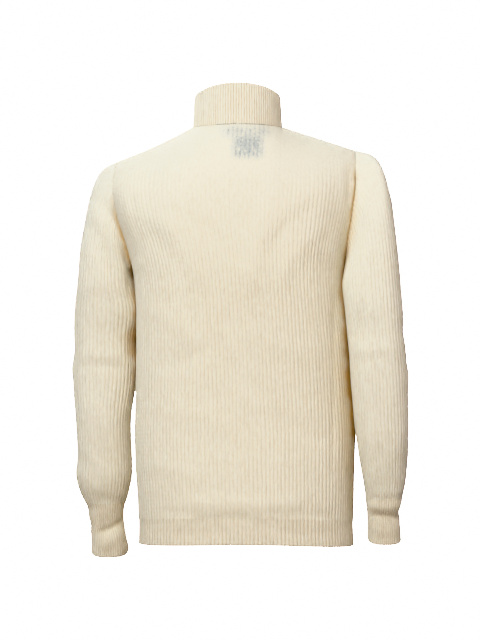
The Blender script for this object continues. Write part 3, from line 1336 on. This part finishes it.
def warmth(arm, z, distance):
    """How golden the wool is at a height, so far from the next piece."""
    width = HOLLOW_WIDTH * (1 + HOLLOW_UNEVEN * math.sin(z / HOLLOW_WAVES[0]) * math.sin(z / HOLLOW_WAVES[1]))
    elbow_z, elbow_reach, wider = ELBOW_HOLLOW[arm]
    width *= 1 + wider * math.exp(-(((z - elbow_z) / elbow_reach) ** 2))
    close = HOLLOW_SHARE * math.exp(-((distance / width) ** 2))
    low = GLOW_SHARE[arm] * ease((z - GLOW_TOP[0]) / (GLOW_TOP[1] - GLOW_TOP[0]))
    return close + low * math.exp(-((distance / GLOW_WIDTH) ** 2))


def shade_hollows(piece, arm, others, strength=1.0):
    """Store on a piece how close each point lies to the other pieces, on one side of the body."""
    places = np.zeros(len(piece.data.vertices) * 3, np.float32)
    piece.data.vertices.foreach_get("co", places)
    places = places.reshape(-1, 3)
    stored = piece.data.attributes.get("hollow") or piece.data.attributes.new("hollow", "FLOAT", "POINT")
    share = np.zeros(len(places), np.float32)
    stored.data.foreach_get("value", share)
    start, full = HOLLOW_TOP[arm]
    fade = ease((places[:, 2] / MM - start) / (full - start))
    across = places[:, 0] * arm
    near = np.flatnonzero((across > HOLLOW_X[0]) & (across < HOLLOW_X[1]) & (fade > 0))
    trees = [ray_tree(other) for other in others]
    for i in near:
        found = [tree.find_nearest(places[i], 2 * GLOW_WIDTH * MM)[3] for tree in trees]
        distance = min((d for d in found if d is not None), default=None)
        if distance is not None:
            share[i] = strength * fade[i] * warmth(arm, places[i, 2] / MM, distance / MM)
    stored.data.foreach_set("value", share)
    return len(near)


for arm in (1, -1):
    sleeve = bpy.data.objects[f"sleeve_{SIDE_NAME[arm]}_cloth"]
    on_sleeve, on_back = (1.0, IN_FRONT) if arm > 0 else (IN_FRONT, 1.0)
    count = shade_hollows(sleeve, arm, panels, on_sleeve)
    count += shade_hollows(back_cloth, arm, [sleeve], on_back) + shade_hollows(front_cloth, arm, [sleeve])
    print(SIDE_NAME[arm], "hollow measured at", count, "points")

# %% [markdown]
# ## Collar
#
# The collar is a tall band of finer ribs, linked to the neck edge and open at the front, where the zip runs
# on to its top. It stands by itself because a dense rib is stiff. A cylinder would not fit the neck, so we
# stretch the collar between two lines, the neck edge and its own top edge.

# %% Neck edge and collar
COLLAR_BACK_Z, COLLAR_SIDE_Z, COLLAR_FRONT_Z = 65.0, 46.0, 20.0
COLLAR_TOP_CURVE = 1.3
COLLAR_HALF_WIDTH, COLLAR_BACK_Y, COLLAR_FRONT_Y = 68.5, 57.0, -66.0
COLLAR_BULGE = 0.6
COLLAR_ROWS, COLLAR_STEPS = 2, 8
COLLAR_EDGES = ((0, 0.05), (COLLAR_ROWS, 0.05))
COLLAR_POINTS = 3
COLLAR_DRIFT = 0.3  # of a column


def collar_top():
    """The top edge of the collar, between the same two edges of the zip."""
    edge = math.asin(NECK_HALF_WIDTH * ZIP_COLUMN / NECK_COLUMN / COLLAR_HALF_WIDTH)
    turn = np.linspace(edge, 2 * math.pi - edge, 200)
    cosine = -np.cos(turn)
    end_z = np.where(cosine > 0, COLLAR_BACK_Z, COLLAR_FRONT_Z)
    z = COLLAR_SIDE_Z + (end_z - COLLAR_SIDE_Z) * np.abs(cosine) ** COLLAR_TOP_CURVE
    depth = np.where(cosine > 0, COLLAR_BACK_Y, -COLLAR_FRONT_Y)
    return np.stack([NECK_X + COLLAR_HALF_WIDTH * np.sin(turn), depth * cosine, z], axis=-1)


COLLAR_LINE = collar_top()


def collar_surface(share, row):
    """Point of the collar, from the left zip edge (0) round the back to the right one (1), and up (0..2)."""
    low, high = spread(NECK_LINE, share), spread(COLLAR_LINE, share)
    t = np.asarray(row, float)[..., None] / COLLAR_ROWS
    outward = unit(((low + high) / 2 - np.array([NECK_X, 0, 0])) * np.array([1, 1, 0]))
    return low + (high - low) * t + outward * COLLAR_BULGE * 4 * t * (1 - t)


def make_collar(material):
    """The collar, from the neck edge to its own top edge."""
    count = 2 * COLLAR_RIBS * COLLAR_POINTS
    columns = np.arange(count + 1) / COLLAR_POINTS
    rows = fine_rows((COLLAR_STEPS,) * COLLAR_ROWS, near=COLLAR_EDGES)
    inwards = COLLAR_RIBS - np.abs(columns - COLLAR_RIBS)
    moved = COLLAR_DRIFT * wave(columns / 9, 0, KNIT_SEED["collar"]) * np.minimum(1, inwards / 8)
    share = (columns + moved) / (2 * COLLAR_RIBS)
    points = np.stack([collar_surface(share, np.full(len(share), r)) for r in rows], axis=1)
    points, normals = creased("collar", points, 1, False)
    cells = np.ones((count, len(rows) - 1), bool)
    ribs = rib_height(columns[:, None], points[..., 2], KNIT_SEED["collar"])
    rim = np.where(rows > 0, RIM, LINKED_RIM)[None, :]
    made = wall("collar_cloth", points, normals, ribs, cells, columns, 1, False, rim)
    made.data.materials.append(material)
    return made, points, cells


collar_cloth, collar_grid, collar_cells = make_collar(collar_wool)
declare_cloth(collar_cloth, collar_grid, collar_cells, False, "collar")

# %% [markdown]
# ## Stitches
#
# Seams and topstitching are many small lengths of yarn. One stitch is a little spindle, and each row of them
# is copied along a line, turned a little if the yarn lies across the seam. Array modifiers could do it too,
# but one mesh for each row is lighter and is exported as it is.

# %% One stitch, and rows of them
SPINDLE = ((-0.5, 0.0), (-0.42, 0.62), (-0.2, 1.0), (0.2, 1.0), (0.42, 0.62), (0.5, 0.0))  # length, thickness


def spindle(length, radius, sides=6):
    """(points, quads) of a stitch along x."""
    angle = np.arange(sides) * 2 * math.pi / sides
    circle = np.stack([np.zeros(sides), radius * np.cos(angle), radius * np.sin(angle)], axis=-1)
    rings = [circle * wide + np.array([at * length, 0, 0]) for at, wide in SPINDLE[1:-1]]
    points = np.concatenate(rings + [[[-length / 2, 0, 0], [length / 2, 0, 0]]])
    faces = []
    for ring in range(len(rings) - 1):
        for i in range(sides):
            a, b = ring * sides + i, ring * sides + (i + 1) % sides
            faces.append((a, b, b + sides, a + sides))
    tip, last = len(points) - 2, (len(rings) - 1) * sides
    for i in range(sides):
        faces.append((tip, (i + 1) % sides, i))
        faces.append((tip + 1, last + i, last + (i + 1) % sides))
    return points, faces


def resampled(path, pitch):
    """The path at even steps of about this pitch."""
    way = run_along(path)
    count = max(2, round(way[-1] / pitch))
    return read_at(path, way, (np.arange(count) + 0.5) / count * way[-1])


def copied(name, places, faces, material):
    """One mesh of many copies of a shape, riding on the garment. places holds the points of every copy."""
    step = len(places[0])
    every = [tuple(i + k * step for i in face) for k in range(len(places)) for face in faces]
    mesh = bpy.data.meshes.new(name)
    mesh.from_pydata((np.concatenate(places) * MM).tolist(), [], every)
    mesh.shade_smooth()
    mesh.materials.append(material)
    made = show(name, mesh)
    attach(made, "garment")
    return made


def stitch_row(name, path, outward, kind, material):
    """A row of stitches of one kind along a path, as one mesh."""
    pitch, length, radius, tilt, lift = kind
    spots = resampled(np.concatenate([path, outward], axis=1), pitch)
    centre, normal = spots[:, :3], unit(spots[:, 3:])
    tangent = unit(np.gradient(centre, axis=0))
    side = unit(np.cross(normal, tangent))
    normal = np.cross(tangent, side)
    turn = math.radians(tilt)
    ahead = tangent * math.cos(turn) + side * math.sin(turn)
    across = side * math.cos(turn) - tangent * math.sin(turn)
    points, faces = spindle(length, radius)
    places = [
        c + n * lift + points[:, :1] * a + points[:, 1:2] * s + points[:, 2:] * n
        for c, n, a, s in zip(centre, normal, ahead, across)
    ]
    return copied(name, places, faces, material)


# %% Yarn and thread
def bands(tree, place, scale, distortion, direction):
    """A pattern of waves between 0 and 1 that run one way."""
    inputs = {"Vector": place, "Scale": scale, "Distortion": distortion}
    return node(tree, "ShaderNodeTexWave", inputs, bands_direction=direction).outputs["Fac"]


def yarn_material(name, colour, roughness, twist):
    """Plied yarn: fine slanted ridges and an uneven colour."""
    made, tree, shader, place = new_material(name, {"Roughness": roughness, "Sheen Weight": 0.2})
    colour_between(tree, shader, noise(tree, place, 500.0, detail=3.0), 0.8, colour)
    plies = bands(tree, place, twist, 2.0, "DIAGONAL")
    roughen(tree, shader, plies, strength=0.4, distance=0.0003)
    return made


linking_yarn = yarn_material("linking_yarn", (0.70, 0.62, 0.46), 0.9, 420.0)
zip_thread = yarn_material("zip_thread", (0.78, 0.71, 0.56), 0.6, 700.0)

# %% [markdown]
# The seams are linked by a chain of the same wool. It lies in the groove between two pieces, at the
# shoulders, round the armholes, down the sides and round the neck.

# %% Linking the pieces
LINKING = 2.1, 3.0, 0.8, 24, -0.1  # pitch, length, radius, tilt in degrees, lift
LINKED_SHARE = 0.09, 0.91  # of the way round the armhole; over the shoulder's tip the chain lies inside
NECK_OUT_FROM = np.array([NECK_X, 0, -40.0])  # the neck seam faces away from this place
ARMHOLE_LEAN = 0.4, 0.2  # how far an armhole seam faces out and up
ARMHOLE_POINTS, SHOULDER_POINTS, SIDE_POINTS = 200, 60, 120


def seam_lines():
    """Name, path and outward directions of every linked seam."""
    yield "neck_seam", NECK_LINE, unit(NECK_LINE - NECK_OUT_FROM)
    for arm in (1, -1):
        word = SIDE_NAME[arm]
        loop, outward = armhole_loop(arm)
        outward = unit(outward + np.array([arm * ARMHOLE_LEAN[0], 0, ARMHOLE_LEAN[1]]))
        shares = np.linspace(*LINKED_SHARE, ARMHOLE_POINTS)
        way = spread_round(np.concatenate([loop, outward], axis=1), shares)
        yield f"armhole_seam_{word}", way[:, :3], way[:, 3:]
        column = arm * np.linspace(NECK_COLUMN, ARM_COLUMN, SHOULDER_POINTS)
        top = panel_surface("back", column, float(PANEL_ROWS))
        yield f"shoulder_seam_{word}", top, np.tile([0.0, 0.0, 1.0], (len(top), 1))
        rows = np.linspace(0, ARM_ROW, SIDE_POINTS)
        side = panel_surface("back", np.full(len(rows), float(arm * HALF)), rows)
        yield f"side_seam_{word}", side, np.tile([float(arm), 0.0, 0.0], (len(side), 1))


seams = [stitch_row(name, path, outward, LINKING, linking_yarn) for name, path, outward in seam_lines()]
print("linked seams:", len(seams), "with", sum(faces_of(seam) for seam in seams), "triangles")

# %% [markdown]
# The neck label is sewn in just below the neck seam. Outside, its needle thread shows as a thin broken line
# with two pale tacks on it.

# %% Sewing in the neck label
LABEL_SEWN, LABEL_TACKS, TACK_REACH = (-44.0, 39.0), (5.0, -40.5), 2.2  # places across the neck
LABEL_SEWN_BELOW = 0.02  # of a row
LABEL_STITCH = 3.3, 2.5, 0.5, 8, 0.7  # pitch, length, radius, tilt in degrees, lift
TACK_STITCH = 1.3, 2.8, 0.6, 10, 1.2


def back_neck(low, high):
    """A line just below the neck edge of the back, between two values of x, and its outward directions."""
    column = (np.linspace(low, high, 40) - NECK_X) / NECK_HALF_WIDTH * NECK_COLUMN
    row = PANEL_ROWS - LABEL_SEWN_BELOW
    return panel_surface("back", column, row), panel_normals("back", column, row)


label_thread = yarn_material("label_thread", (0.15, 0.15, 0.14), 0.6, 700.0)
sewing = stitch_row("label_stitches", *back_neck(*LABEL_SEWN), LABEL_STITCH, label_thread)
for i, x in enumerate(LABEL_TACKS):
    stitch_row(f"label_tack_{i + 1}", *back_neck(x - TACK_REACH, x + TACK_REACH), TACK_STITCH, zip_thread)
print("label sewing:", faces_of(sewing), "triangles")

# %% [markdown]
# ## The zip
#
# The zip is closed. Its two woven tapes lie behind the edges of the opening, metal teeth are clamped along
# their inner edges, and the two sets lock between each other. A picture of teeth on a strip would look flat,
# because every tooth catches the light by itself, so each is a small bevelled block.

# %% The middle of the zip
TAPE_THICKNESS, TAPE_GAP, TAPE_EDGE = 0.8, 0.5, 1.2  # TAPE_EDGE is from the middle of the zip
TAPE_TAIL_ROWS = 0.1
COLLAR_EDGE_COLUMNS = 4
COLLAR_SPAN = 0.15, 1.96  # the rows of the collar that the zip is drawn through
FRONT_POINTS, COLLAR_LINE_POINTS = 60, 30
BESIDE_COLLAR_ROW = 0.02


def collar_edge(side, row):
    """(edge point, outward direction) of the collar at one side of the zip."""
    shares = np.array([0, COLLAR_EDGE_COLUMNS]) / (2 * COLLAR_RIBS)
    shares = shares if side > 0 else 1 - shares
    edge, inner = collar_surface(shares, np.full(2, float(row)))
    run = unit(edge - inner)
    beside = (row + BESIDE_COLLAR_ROW, row - BESIDE_COLLAR_ROW)
    above, below = (collar_surface(shares, np.full(2, place)) for place in beside)
    return edge, unit(np.cross(-side * run, (above - below)[0]))


def zip_line():
    """(points on the face of the cloth, outward directions) up the middle of the zip."""
    rows = np.linspace(ZIP_ROW - TAPE_TAIL_ROWS, PANEL_ROWS, FRONT_POINTS)
    points = [panel_surface("front", 0.0, row) for row in rows]
    normals = [panel_normals("front", np.array(0.0), np.array(row)) for row in rows]
    for row in np.linspace(*COLLAR_SPAN, COLLAR_LINE_POINTS):
        left, right = collar_edge(1, row), collar_edge(-1, row)
        points.append((left[0] + right[0]) / 2)
        normals.append(unit(left[1] + right[1]))
    points, normals = np.stack(points), np.stack(normals)
    points[:, 0] = front_line_x(points[:, 2])
    normals[:, 0] = 0
    return points, unit(normals)


zip_points, zip_normals = zip_line()
print("zip from", np.round(zip_points[0]), "to", np.round(zip_points[-1]), "mm")

# %% Teeth
TOOTH_PITCH, TOOTH_HEIGHT, TOOTH_DEPTH = 2.5, 1.25, 2.5
TOOTH_REACH, TOOTH_ROOT = 0.75, 3.4  # past the middle of the zip, and out on to the tape
TOOTH_BEVEL, TOOTH_SHARP = 0.3, 50  # millimetres, and the degrees from which an edge stays sharp
NOSE_DEPTH, NOSE_HEIGHT = 0.82, 0.8  # of the root's
STOP_MARGIN, TOP_MARGIN = 5.0, 1.0  # of the zip's ends that have no teeth


def tooth_shape():
    """A tooth along +x, with a rounded nose and bevelled edges, its root on the tape."""
    shape = bmesh.new()
    bmesh.ops.create_cube(shape, size=1.0)
    for vertex in shape.verts:
        nose = vertex.co.x < 0
        vertex.co.x = -TOOTH_REACH if nose else TOOTH_ROOT
        vertex.co.y *= TOOTH_DEPTH * (NOSE_DEPTH if nose else 1.0)
        vertex.co.z *= TOOTH_HEIGHT * (NOSE_HEIGHT if nose else 1.0)
    bmesh.ops.bevel(shape, geom=shape.edges[:], offset=TOOTH_BEVEL, segments=2, affect="EDGES", profile=0.6)
    shape.verts.ensure_lookup_table()
    points = np.array([vertex.co for vertex in shape.verts])
    faces = [[vertex.index for vertex in face.verts] for face in shape.faces]
    shape.free()
    return points, faces


def make_teeth(name, side, material):
    """All the teeth of one side, as one mesh. The other side's stand half a pitch higher."""
    path = zip_points - zip_normals * (WALL + TAPE_GAP + TAPE_THICKNESS / 2)
    run = run_along(path)
    at = np.arange(STOP_MARGIN + (0 if side > 0 else TOOTH_PITCH / 2), run[-1] - TOP_MARGIN, TOOTH_PITCH)
    centre = read_at(path, run, at)
    out = unit(read_at(zip_normals, run, at))
    up = unit(np.gradient(centre, axis=0))
    x = np.array([float(side), 0.0, 0.0])
    points, faces = tooth_shape()
    wide, deep, high = points[:, :1] * x, points[:, 1:2], points[:, 2:]
    places = [c + wide - deep * n + high * u for c, n, u in zip(centre, out, up)]
    if side < 0:
        faces = [face[::-1] for face in faces]
    made = copied(name, places, faces, material)
    made.data.set_sharp_from_angle(angle=math.radians(TOOTH_SHARP))
    return made


# %% Metal
BRUSH_SCALE, BRUSH_ROUGHNESS = (2600.0, 2600.0, 90.0), 0.18


def metal_material(name, colour, roughness):
    """Satin metal with fine brush lines and slightly worn, brighter high spots."""
    made, tree, shader, place = new_material(name, {"Metallic": 1.0})
    stretched = node(tree, "ShaderNodeMapping", {"Vector": place, "Scale": BRUSH_SCALE}).outputs[0]
    lines = noise(tree, stretched, 1.0, detail=3.0, roughness=0.6)
    colour_between(tree, shader, noise(tree, place, 260.0, detail=3.0), 0.78, colour)
    rough = weighted(tree, lines, BRUSH_ROUGHNESS, roughness - BRUSH_ROUGHNESS / 2)
    tree.links.new(rough, shader.inputs["Roughness"])
    roughen(tree, shader, lines, strength=0.25, distance=0.0001)
    return made


teeth_metal = metal_material("teeth_metal", (0.74, 0.70, 0.60), 0.34)
slider_metal = metal_material("slider_metal", (0.78, 0.74, 0.64), 0.26)
teeth = [make_teeth(f"zip_teeth_{SIDE_NAME[side]}", side, teeth_metal) for side in (1, -1)]
print("teeth:", [faces_of(piece) for piece in teeth], "triangles")

# %% [markdown]
# ## Tapes
#
# A zip's tape is a close herringbone weave, sewn behind the edge of the cloth. Here each tape is a thin strip
# that follows the cloth up the front and the collar. Rays sent from behind find how far back the cloth lies,
# so the tape doesn't cut through it.

# %% Woven tape
HERRINGBONE, TWILL = 0.0015, 0.0007  # metres from turn to turn, and from thread to thread


def tape_material(name, colour):
    """A fine herringbone weave."""
    made, tree, shader, place = new_material(name, {"Roughness": 0.8, "Sheen Weight": 0.1})
    split = node(tree, "ShaderNodeSeparateXYZ", {0: place})
    fold = maths(tree, "PINGPONG", split.outputs[0], HERRINGBONE)
    slanted = maths(tree, "ADD", split.outputs[2], fold)
    twill = maths(tree, "SINE", maths(tree, "MULTIPLY", slanted, 2 * math.pi / TWILL))
    relief = weighted(tree, twill, 0.5, 0.5)
    colour_between(tree, shader, relief, 0.82, colour)
    roughen(tree, shader, relief, strength=0.5, distance=0.0002)
    return made


def whole(points):
    """Every cell of an open grid."""
    return np.ones((points.shape[0] - 1, points.shape[1] - 1), bool)


def strip(name, face, normals, thickness, material):
    """A closed strip with soft edges on a grid of points."""
    mid = face - normals * thickness / 2
    columns, rows = face.shape[:2]
    edge, used = edge_points(whole(face), False)
    share = rounding(mid, edge, used, np.full(edge.shape, thickness / 2))
    outer = mid + normals * (share * thickness / 2)[..., None]
    inner = mid - normals * (share * thickness / 2)[..., None]
    number = np.arange(columns * rows).reshape(columns, rows)
    within = number.copy()
    within[~edge] = columns * rows + np.arange((~edge).sum())
    faces = []
    for grid, order in ((number, 1), (within, -1)):
        corners = (grid[:-1, :-1], grid[1:, :-1], grid[1:, 1:], grid[:-1, 1:])
        faces.append(np.stack([corner.ravel() for corner in corners[::order]], axis=1))
    made = mesh_piece(name, np.concatenate([outer.reshape(-1, 3), inner[~edge]]), np.concatenate(faces))
    made.data.materials.append(material)
    return made


# %% Laying the tapes behind the cloth
TAPE_STEPS = np.array([0, 0.12, 0.35, 1.2, 2.4, 4, 6, 8, 10, 11.6, 12.3, 12.65, 12.8])  # across a tape
TAPE_ENDS, TAPE_ROWS = ((0, 0.001, 0.003), (0.997, 0.999, 1)), 60  # places close to its ends, and all
PROBE_OUT, PROBE_BACK = 10.0, 12.0  # where a ray starts, beside the zip and behind the cloth
PROBE_LENGTH = 0.03  # in metres
TAPE_LEAN = 0.02


def tape_sheet(side, across, line, out):
    """The face of a tape. It leans back as far as the cloth beside it does, found by a ray from behind."""
    trees = [ray_tree(piece) for piece in (front_cloth, collar_cloth)]
    points = np.zeros((len(across), len(line), 3))
    for j, (centre, normal) in enumerate(zip(line, out)):
        face = centre - normal * (WALL + TAPE_GAP)
        start = Vector(face + np.array([side * PROBE_OUT, 0, 0]) - normal * PROBE_BACK) * MM
        hits = [tree.ray_cast(start, Vector(normal), PROBE_LENGTH)[3] for tree in trees]
        distance = next((hit / MM for hit in hits if hit is not None), PROBE_BACK)
        slope = min((distance - PROBE_BACK) / PROBE_OUT, 0) - TAPE_LEAN
        for i, a in enumerate(across):
            points[i, j] = face + np.array([side * a, 0, 0]) + normal * slope * a
    return points, grid_normals(points, side, False)


def make_tape(side, material):
    """Half of the zip's tape, from its inner edge out behind the cloth."""
    rows = np.concatenate([TAPE_ENDS[0], np.linspace(0, 1, TAPE_ROWS)[1:-1], TAPE_ENDS[1]])
    way = np.linspace(0, 1, len(zip_points))
    line, out = read_at(zip_points, way, rows), unit(read_at(zip_normals, way, rows))
    points, normals = tape_sheet(side, TAPE_STEPS + TAPE_EDGE, line, out)
    if side < 0:
        points, normals = points[::-1], normals[::-1]
    made = strip(f"tape_{SIDE_NAME[side]}", points, normals, TAPE_THICKNESS, material)
    return made, points


tape_weave = tape_material("tape_weave", (0.78, 0.71, 0.56))
for side in (1, -1):
    tape, tape_grid = make_tape(side, tape_weave)
    node_name = f"zip_tape_{SIDE_NAME[side]}"
    declare_cloth(tape, tape_grid, whole(tape_grid), False, node_name)

# %% [markdown]
# ## Topstitching
#
# A row of sewn stitches beside each edge of the opening holds the tape to the knit. It sits on the crest of
# the first rib.

# %% Sewing the zip in
TOPSTITCH = 3.2, 2.5, 0.32, 0, RIB_HEIGHT + 0.1  # pitch, length, radius, tilt in degrees, lift
TOP_COLUMN, TOP_END, TOP_POINTS = 3.0, 0.05, 80  # TOP_END is how many rows below the neck it ends


def topstitch(side):
    """The sewing beside one edge of the opening."""
    rows = np.linspace(ZIP_ROW, PANEL_ROWS - TOP_END, TOP_POINTS)
    column = np.full(len(rows), side * TOP_COLUMN)
    points = panel_surface("front", column, rows)
    normals = panel_normals("front", column, rows)
    return stitch_row(f"zip_stitching_{SIDE_NAME[side]}", points, normals, TOPSTITCH, zip_thread)


print("topstitching:", [faces_of(topstitch(side)) for side in (1, -1)], "triangles")

# %% [markdown]
# ## Slider, stop and tab
#
# These are small castings, and their solids already have the right shape. So we copy each solid, join its
# split corners, and bevel its edges so that they catch the light as worn metal does.

# %% Soft edges for the hardware
FLAT_TO, BEVELLED_FROM, SHARP_FROM = 3, 35, 60  # degrees between two faces


def softened(node_name, new_name, width, material, body):
    """A copy of a solid with rounded edges, standing for it."""
    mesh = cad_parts[node_name].data.copy()
    shape = bmesh.new()
    shape.from_mesh(mesh)
    bmesh.ops.remove_doubles(shape, verts=shape.verts, dist=1e-6)
    flat = math.radians(FLAT_TO)
    bmesh.ops.dissolve_limit(shape, angle_limit=flat, verts=shape.verts, edges=shape.edges)
    shape.to_mesh(mesh)
    shape.free()
    mesh.materials.clear()
    mesh.materials.append(material)
    made = show(new_name, mesh)
    bevel = made.modifiers.new("soft_edges", "BEVEL")
    bevel.width, bevel.segments, bevel.limit_method = width * MM, 2, "ANGLE"
    bevel.angle_limit = math.radians(BEVELLED_FROM)
    mesh.shade_smooth()
    mesh.set_sharp_from_angle(angle=math.radians(SHARP_FROM))
    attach(made, body)
    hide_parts(node_name)
    return made


HARDWARE = (
    # node, piece, width of its bevels, body
    ("zip_slider", "slider", 0.22, "garment"),
    ("zip_stop", "bottom_stop", 0.25, "garment"),
    ("pull_tab", "tab", 0.16, "pull_tab"),
)
hardware = [softened(solid, name, width, slider_metal, body) for solid, name, width, body in HARDWARE]
print("hardware before its bevels:", [faces_of(piece) for piece in hardware], "triangles")

# %% [markdown]
# ## Labels
#
# Two bare woven labels are sewn inside the neck. They are thin satin strips that lie against the inside of
# the back. A Shrinkwrap modifier could lay them there. Rays do the same here, from the labels' places in the
# frame, and leave the gap that we choose.

# %% Making the labels
def satin_material(name, colour):
    """A close satin weave with a soft gloss."""
    made, tree, shader, place = new_material(name, {"Roughness": 0.5, "Sheen Weight": 0.15})
    threads = bands(tree, place, 700.0, 0.6, "Z")
    colour_between(tree, shader, threads, 0.85, colour)
    roughen(tree, shader, threads, strength=0.3, distance=0.0001)
    return made


label_satin = satin_material("label_satin", (0.62, 0.62, 0.60))

# %% Laying the labels against the back
LABEL_GAP, LABEL_THICKNESS, LABEL_INSET = 0.9, 0.6, 0.3
LABEL_COLUMNS, LABEL_ROWS = 20, 14


def label_face(node_name):
    """(points, directions) of a label's face, a little inside the back's solid."""
    low, high = (np.array(corner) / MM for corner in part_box(node_name))
    tree = ray_tree(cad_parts["back_panel"])
    columns = np.linspace(low[0] + LABEL_INSET, high[0] - LABEL_INSET, LABEL_COLUMNS)
    rows = np.linspace(low[2] + LABEL_INSET, high[2] - LABEL_INSET, LABEL_ROWS)
    points, normals = np.zeros((2, len(columns), len(rows), 3))
    for c, x in enumerate(columns):
        for r, z in enumerate(rows):
            place, inward, _, _ = tree.ray_cast(Vector((x, 0, z)) * MM, Vector((0, 1, 0)))
            points[c, r], normals[c, r] = np.array(place) / MM, -np.array(inward)
    return points - normals * LABEL_GAP, normals


for node_name, name in (("neck_label", "neck_label_satin"), ("care_label", "care_label_satin")):
    points, normals = label_face(node_name)
    label = strip(name, points[::-1], normals[::-1], LABEL_THICKNESS, label_satin)
    declare_cloth(label, points, whole(points), False, node_name)

# %% [markdown]
# ## Floor, light and camera
#
# The photograph is a studio picture on white. A broad cool light stands at the upper left, the key is nearly
# beside the camera, a low fill comes from the right, and a soft wash lights the front, which this camera
# doesn't see. The world adds the golden light that wool throws back. The sweep is so bright that it comes out
# white, so it is shown to the camera and kept out of the light. The camera stands level with the middle of
# the sweater, four metres behind it, with a long lens.

# %% Sweep
FLOOR_Z = -0.80
FLOOR_RADIUS = 9.0
WHITE = 30.0  # strength of what has to come out pure white
PAPER = (0.93, 0.93, 0.92, 1), (0.96, 0.96, 0.95, 1)
PAPER_FINISH = {"Roughness": 0.9, "Emission Color": (1, 1, 1, 1), "Emission Strength": WHITE}


def make_floor():
    """A wide disc of bright paper, which only the camera sees."""
    mesh = bpy.data.meshes.new("floor")
    shape = bmesh.new()
    bmesh.ops.create_circle(shape, cap_ends=True, segments=96, radius=FLOOR_RADIUS)
    shape.to_mesh(mesh)
    shape.free()
    made = show("floor", mesh)
    made.location.z = FLOOR_Z
    paper, tree, shader, place = new_material("paper_sweep", PAPER_FINISH)
    tree.links.new(mixed(tree, noise(tree, place, 60.0, detail=4.0), *PAPER), shader.inputs["Base Color"])
    mesh.materials.append(paper)
    made.visible_diffuse = made.visible_glossy = False
    made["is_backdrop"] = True
    return made


floor = make_floor()
print("the sweep lies", round(-floor.location.z, 2), "m below the neck")

# %% World
AMBIENT, AMBIENT_STRENGTH = (1.0, 0.80, 0.60, 1), 0.21
world = bpy.data.worlds.new("studio")
bpy.context.scene.world = world
world.use_nodes = True
tree = world.node_tree
ambient = tree.nodes["Background"]
ambient.inputs["Color"].default_value = AMBIENT
ambient.inputs["Strength"].default_value = AMBIENT_STRENGTH
white = node(tree, "ShaderNodeBackground", {"Color": (1, 1, 1, 1), "Strength": WHITE})
seen = node(tree, "ShaderNodeLightPath").outputs["Is Camera Ray"]
both = node(tree, "ShaderNodeMixShader", {0: seen, 1: ambient.outputs[0], 2: white.outputs[0]})
tree.links.new(both.outputs[0], tree.nodes["World Output"].inputs["Surface"])

# %% Lights
LIGHTS = (
    # name, place, size, power, colour
    ("upper_key", (1.0, 1.5, 1.35), 1.4, 27.0, (0.37, 0.67, 1.0)),
    ("key", (0.6, 2.8, 1.0), 1.7, 90.0, (1.0, 0.925, 0.835)),
    ("fill", (-2.4, 1.2, 0.5), 2.0, 18.0, (0.73, 0.78, 0.93)),
    ("front_wash", (0.9, -2.6, 1.3), 2.4, 150.0, (0.93, 0.97, 1.0)),
)
AIM = Vector((0.0, 0.0, -0.3))
for name, place, size, power, colour in LIGHTS:
    lamp = bpy.data.lights.new(name, "AREA")
    lamp.size, lamp.energy, lamp.color = size, power, colour
    light = show(name, lamp)
    light.location = place
    light.rotation_euler = (AIM - Vector(place)).to_track_quat("-Z", "Y").to_euler()
    print(name, "is", round((AIM - Vector(place)).length, 1), "m from the sweater")

# %% Camera
CAMERA_DISTANCE, CAMERA_X, CAMERA_Z, LENS = 4.0, 0.0016, -0.315, 139.0
camera = show("camera", bpy.data.cameras.new("camera"))
camera.data.lens = LENS
camera.location = (CAMERA_X, CAMERA_DISTANCE, CAMERA_Z)
camera.rotation_euler = (math.radians(90), 0, math.radians(180))
bpy.context.scene.camera = camera
bpy.context.scene.view_settings.view_transform = "Khronos PBR Neutral"
print("camera", CAMERA_DISTANCE, "m behind the sweater with a", LENS, "mm lens")

# %% [markdown]
# ## Last checks
#
# The finished sweater has to stay within the size of the solids, so we write both boxes side by side.

# %% Compare the sizes and finish
shown_box = [list(corner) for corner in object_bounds()]
print("shown box in mm:", [[round(value * 1000) for value in corner] for corner in shown_box])
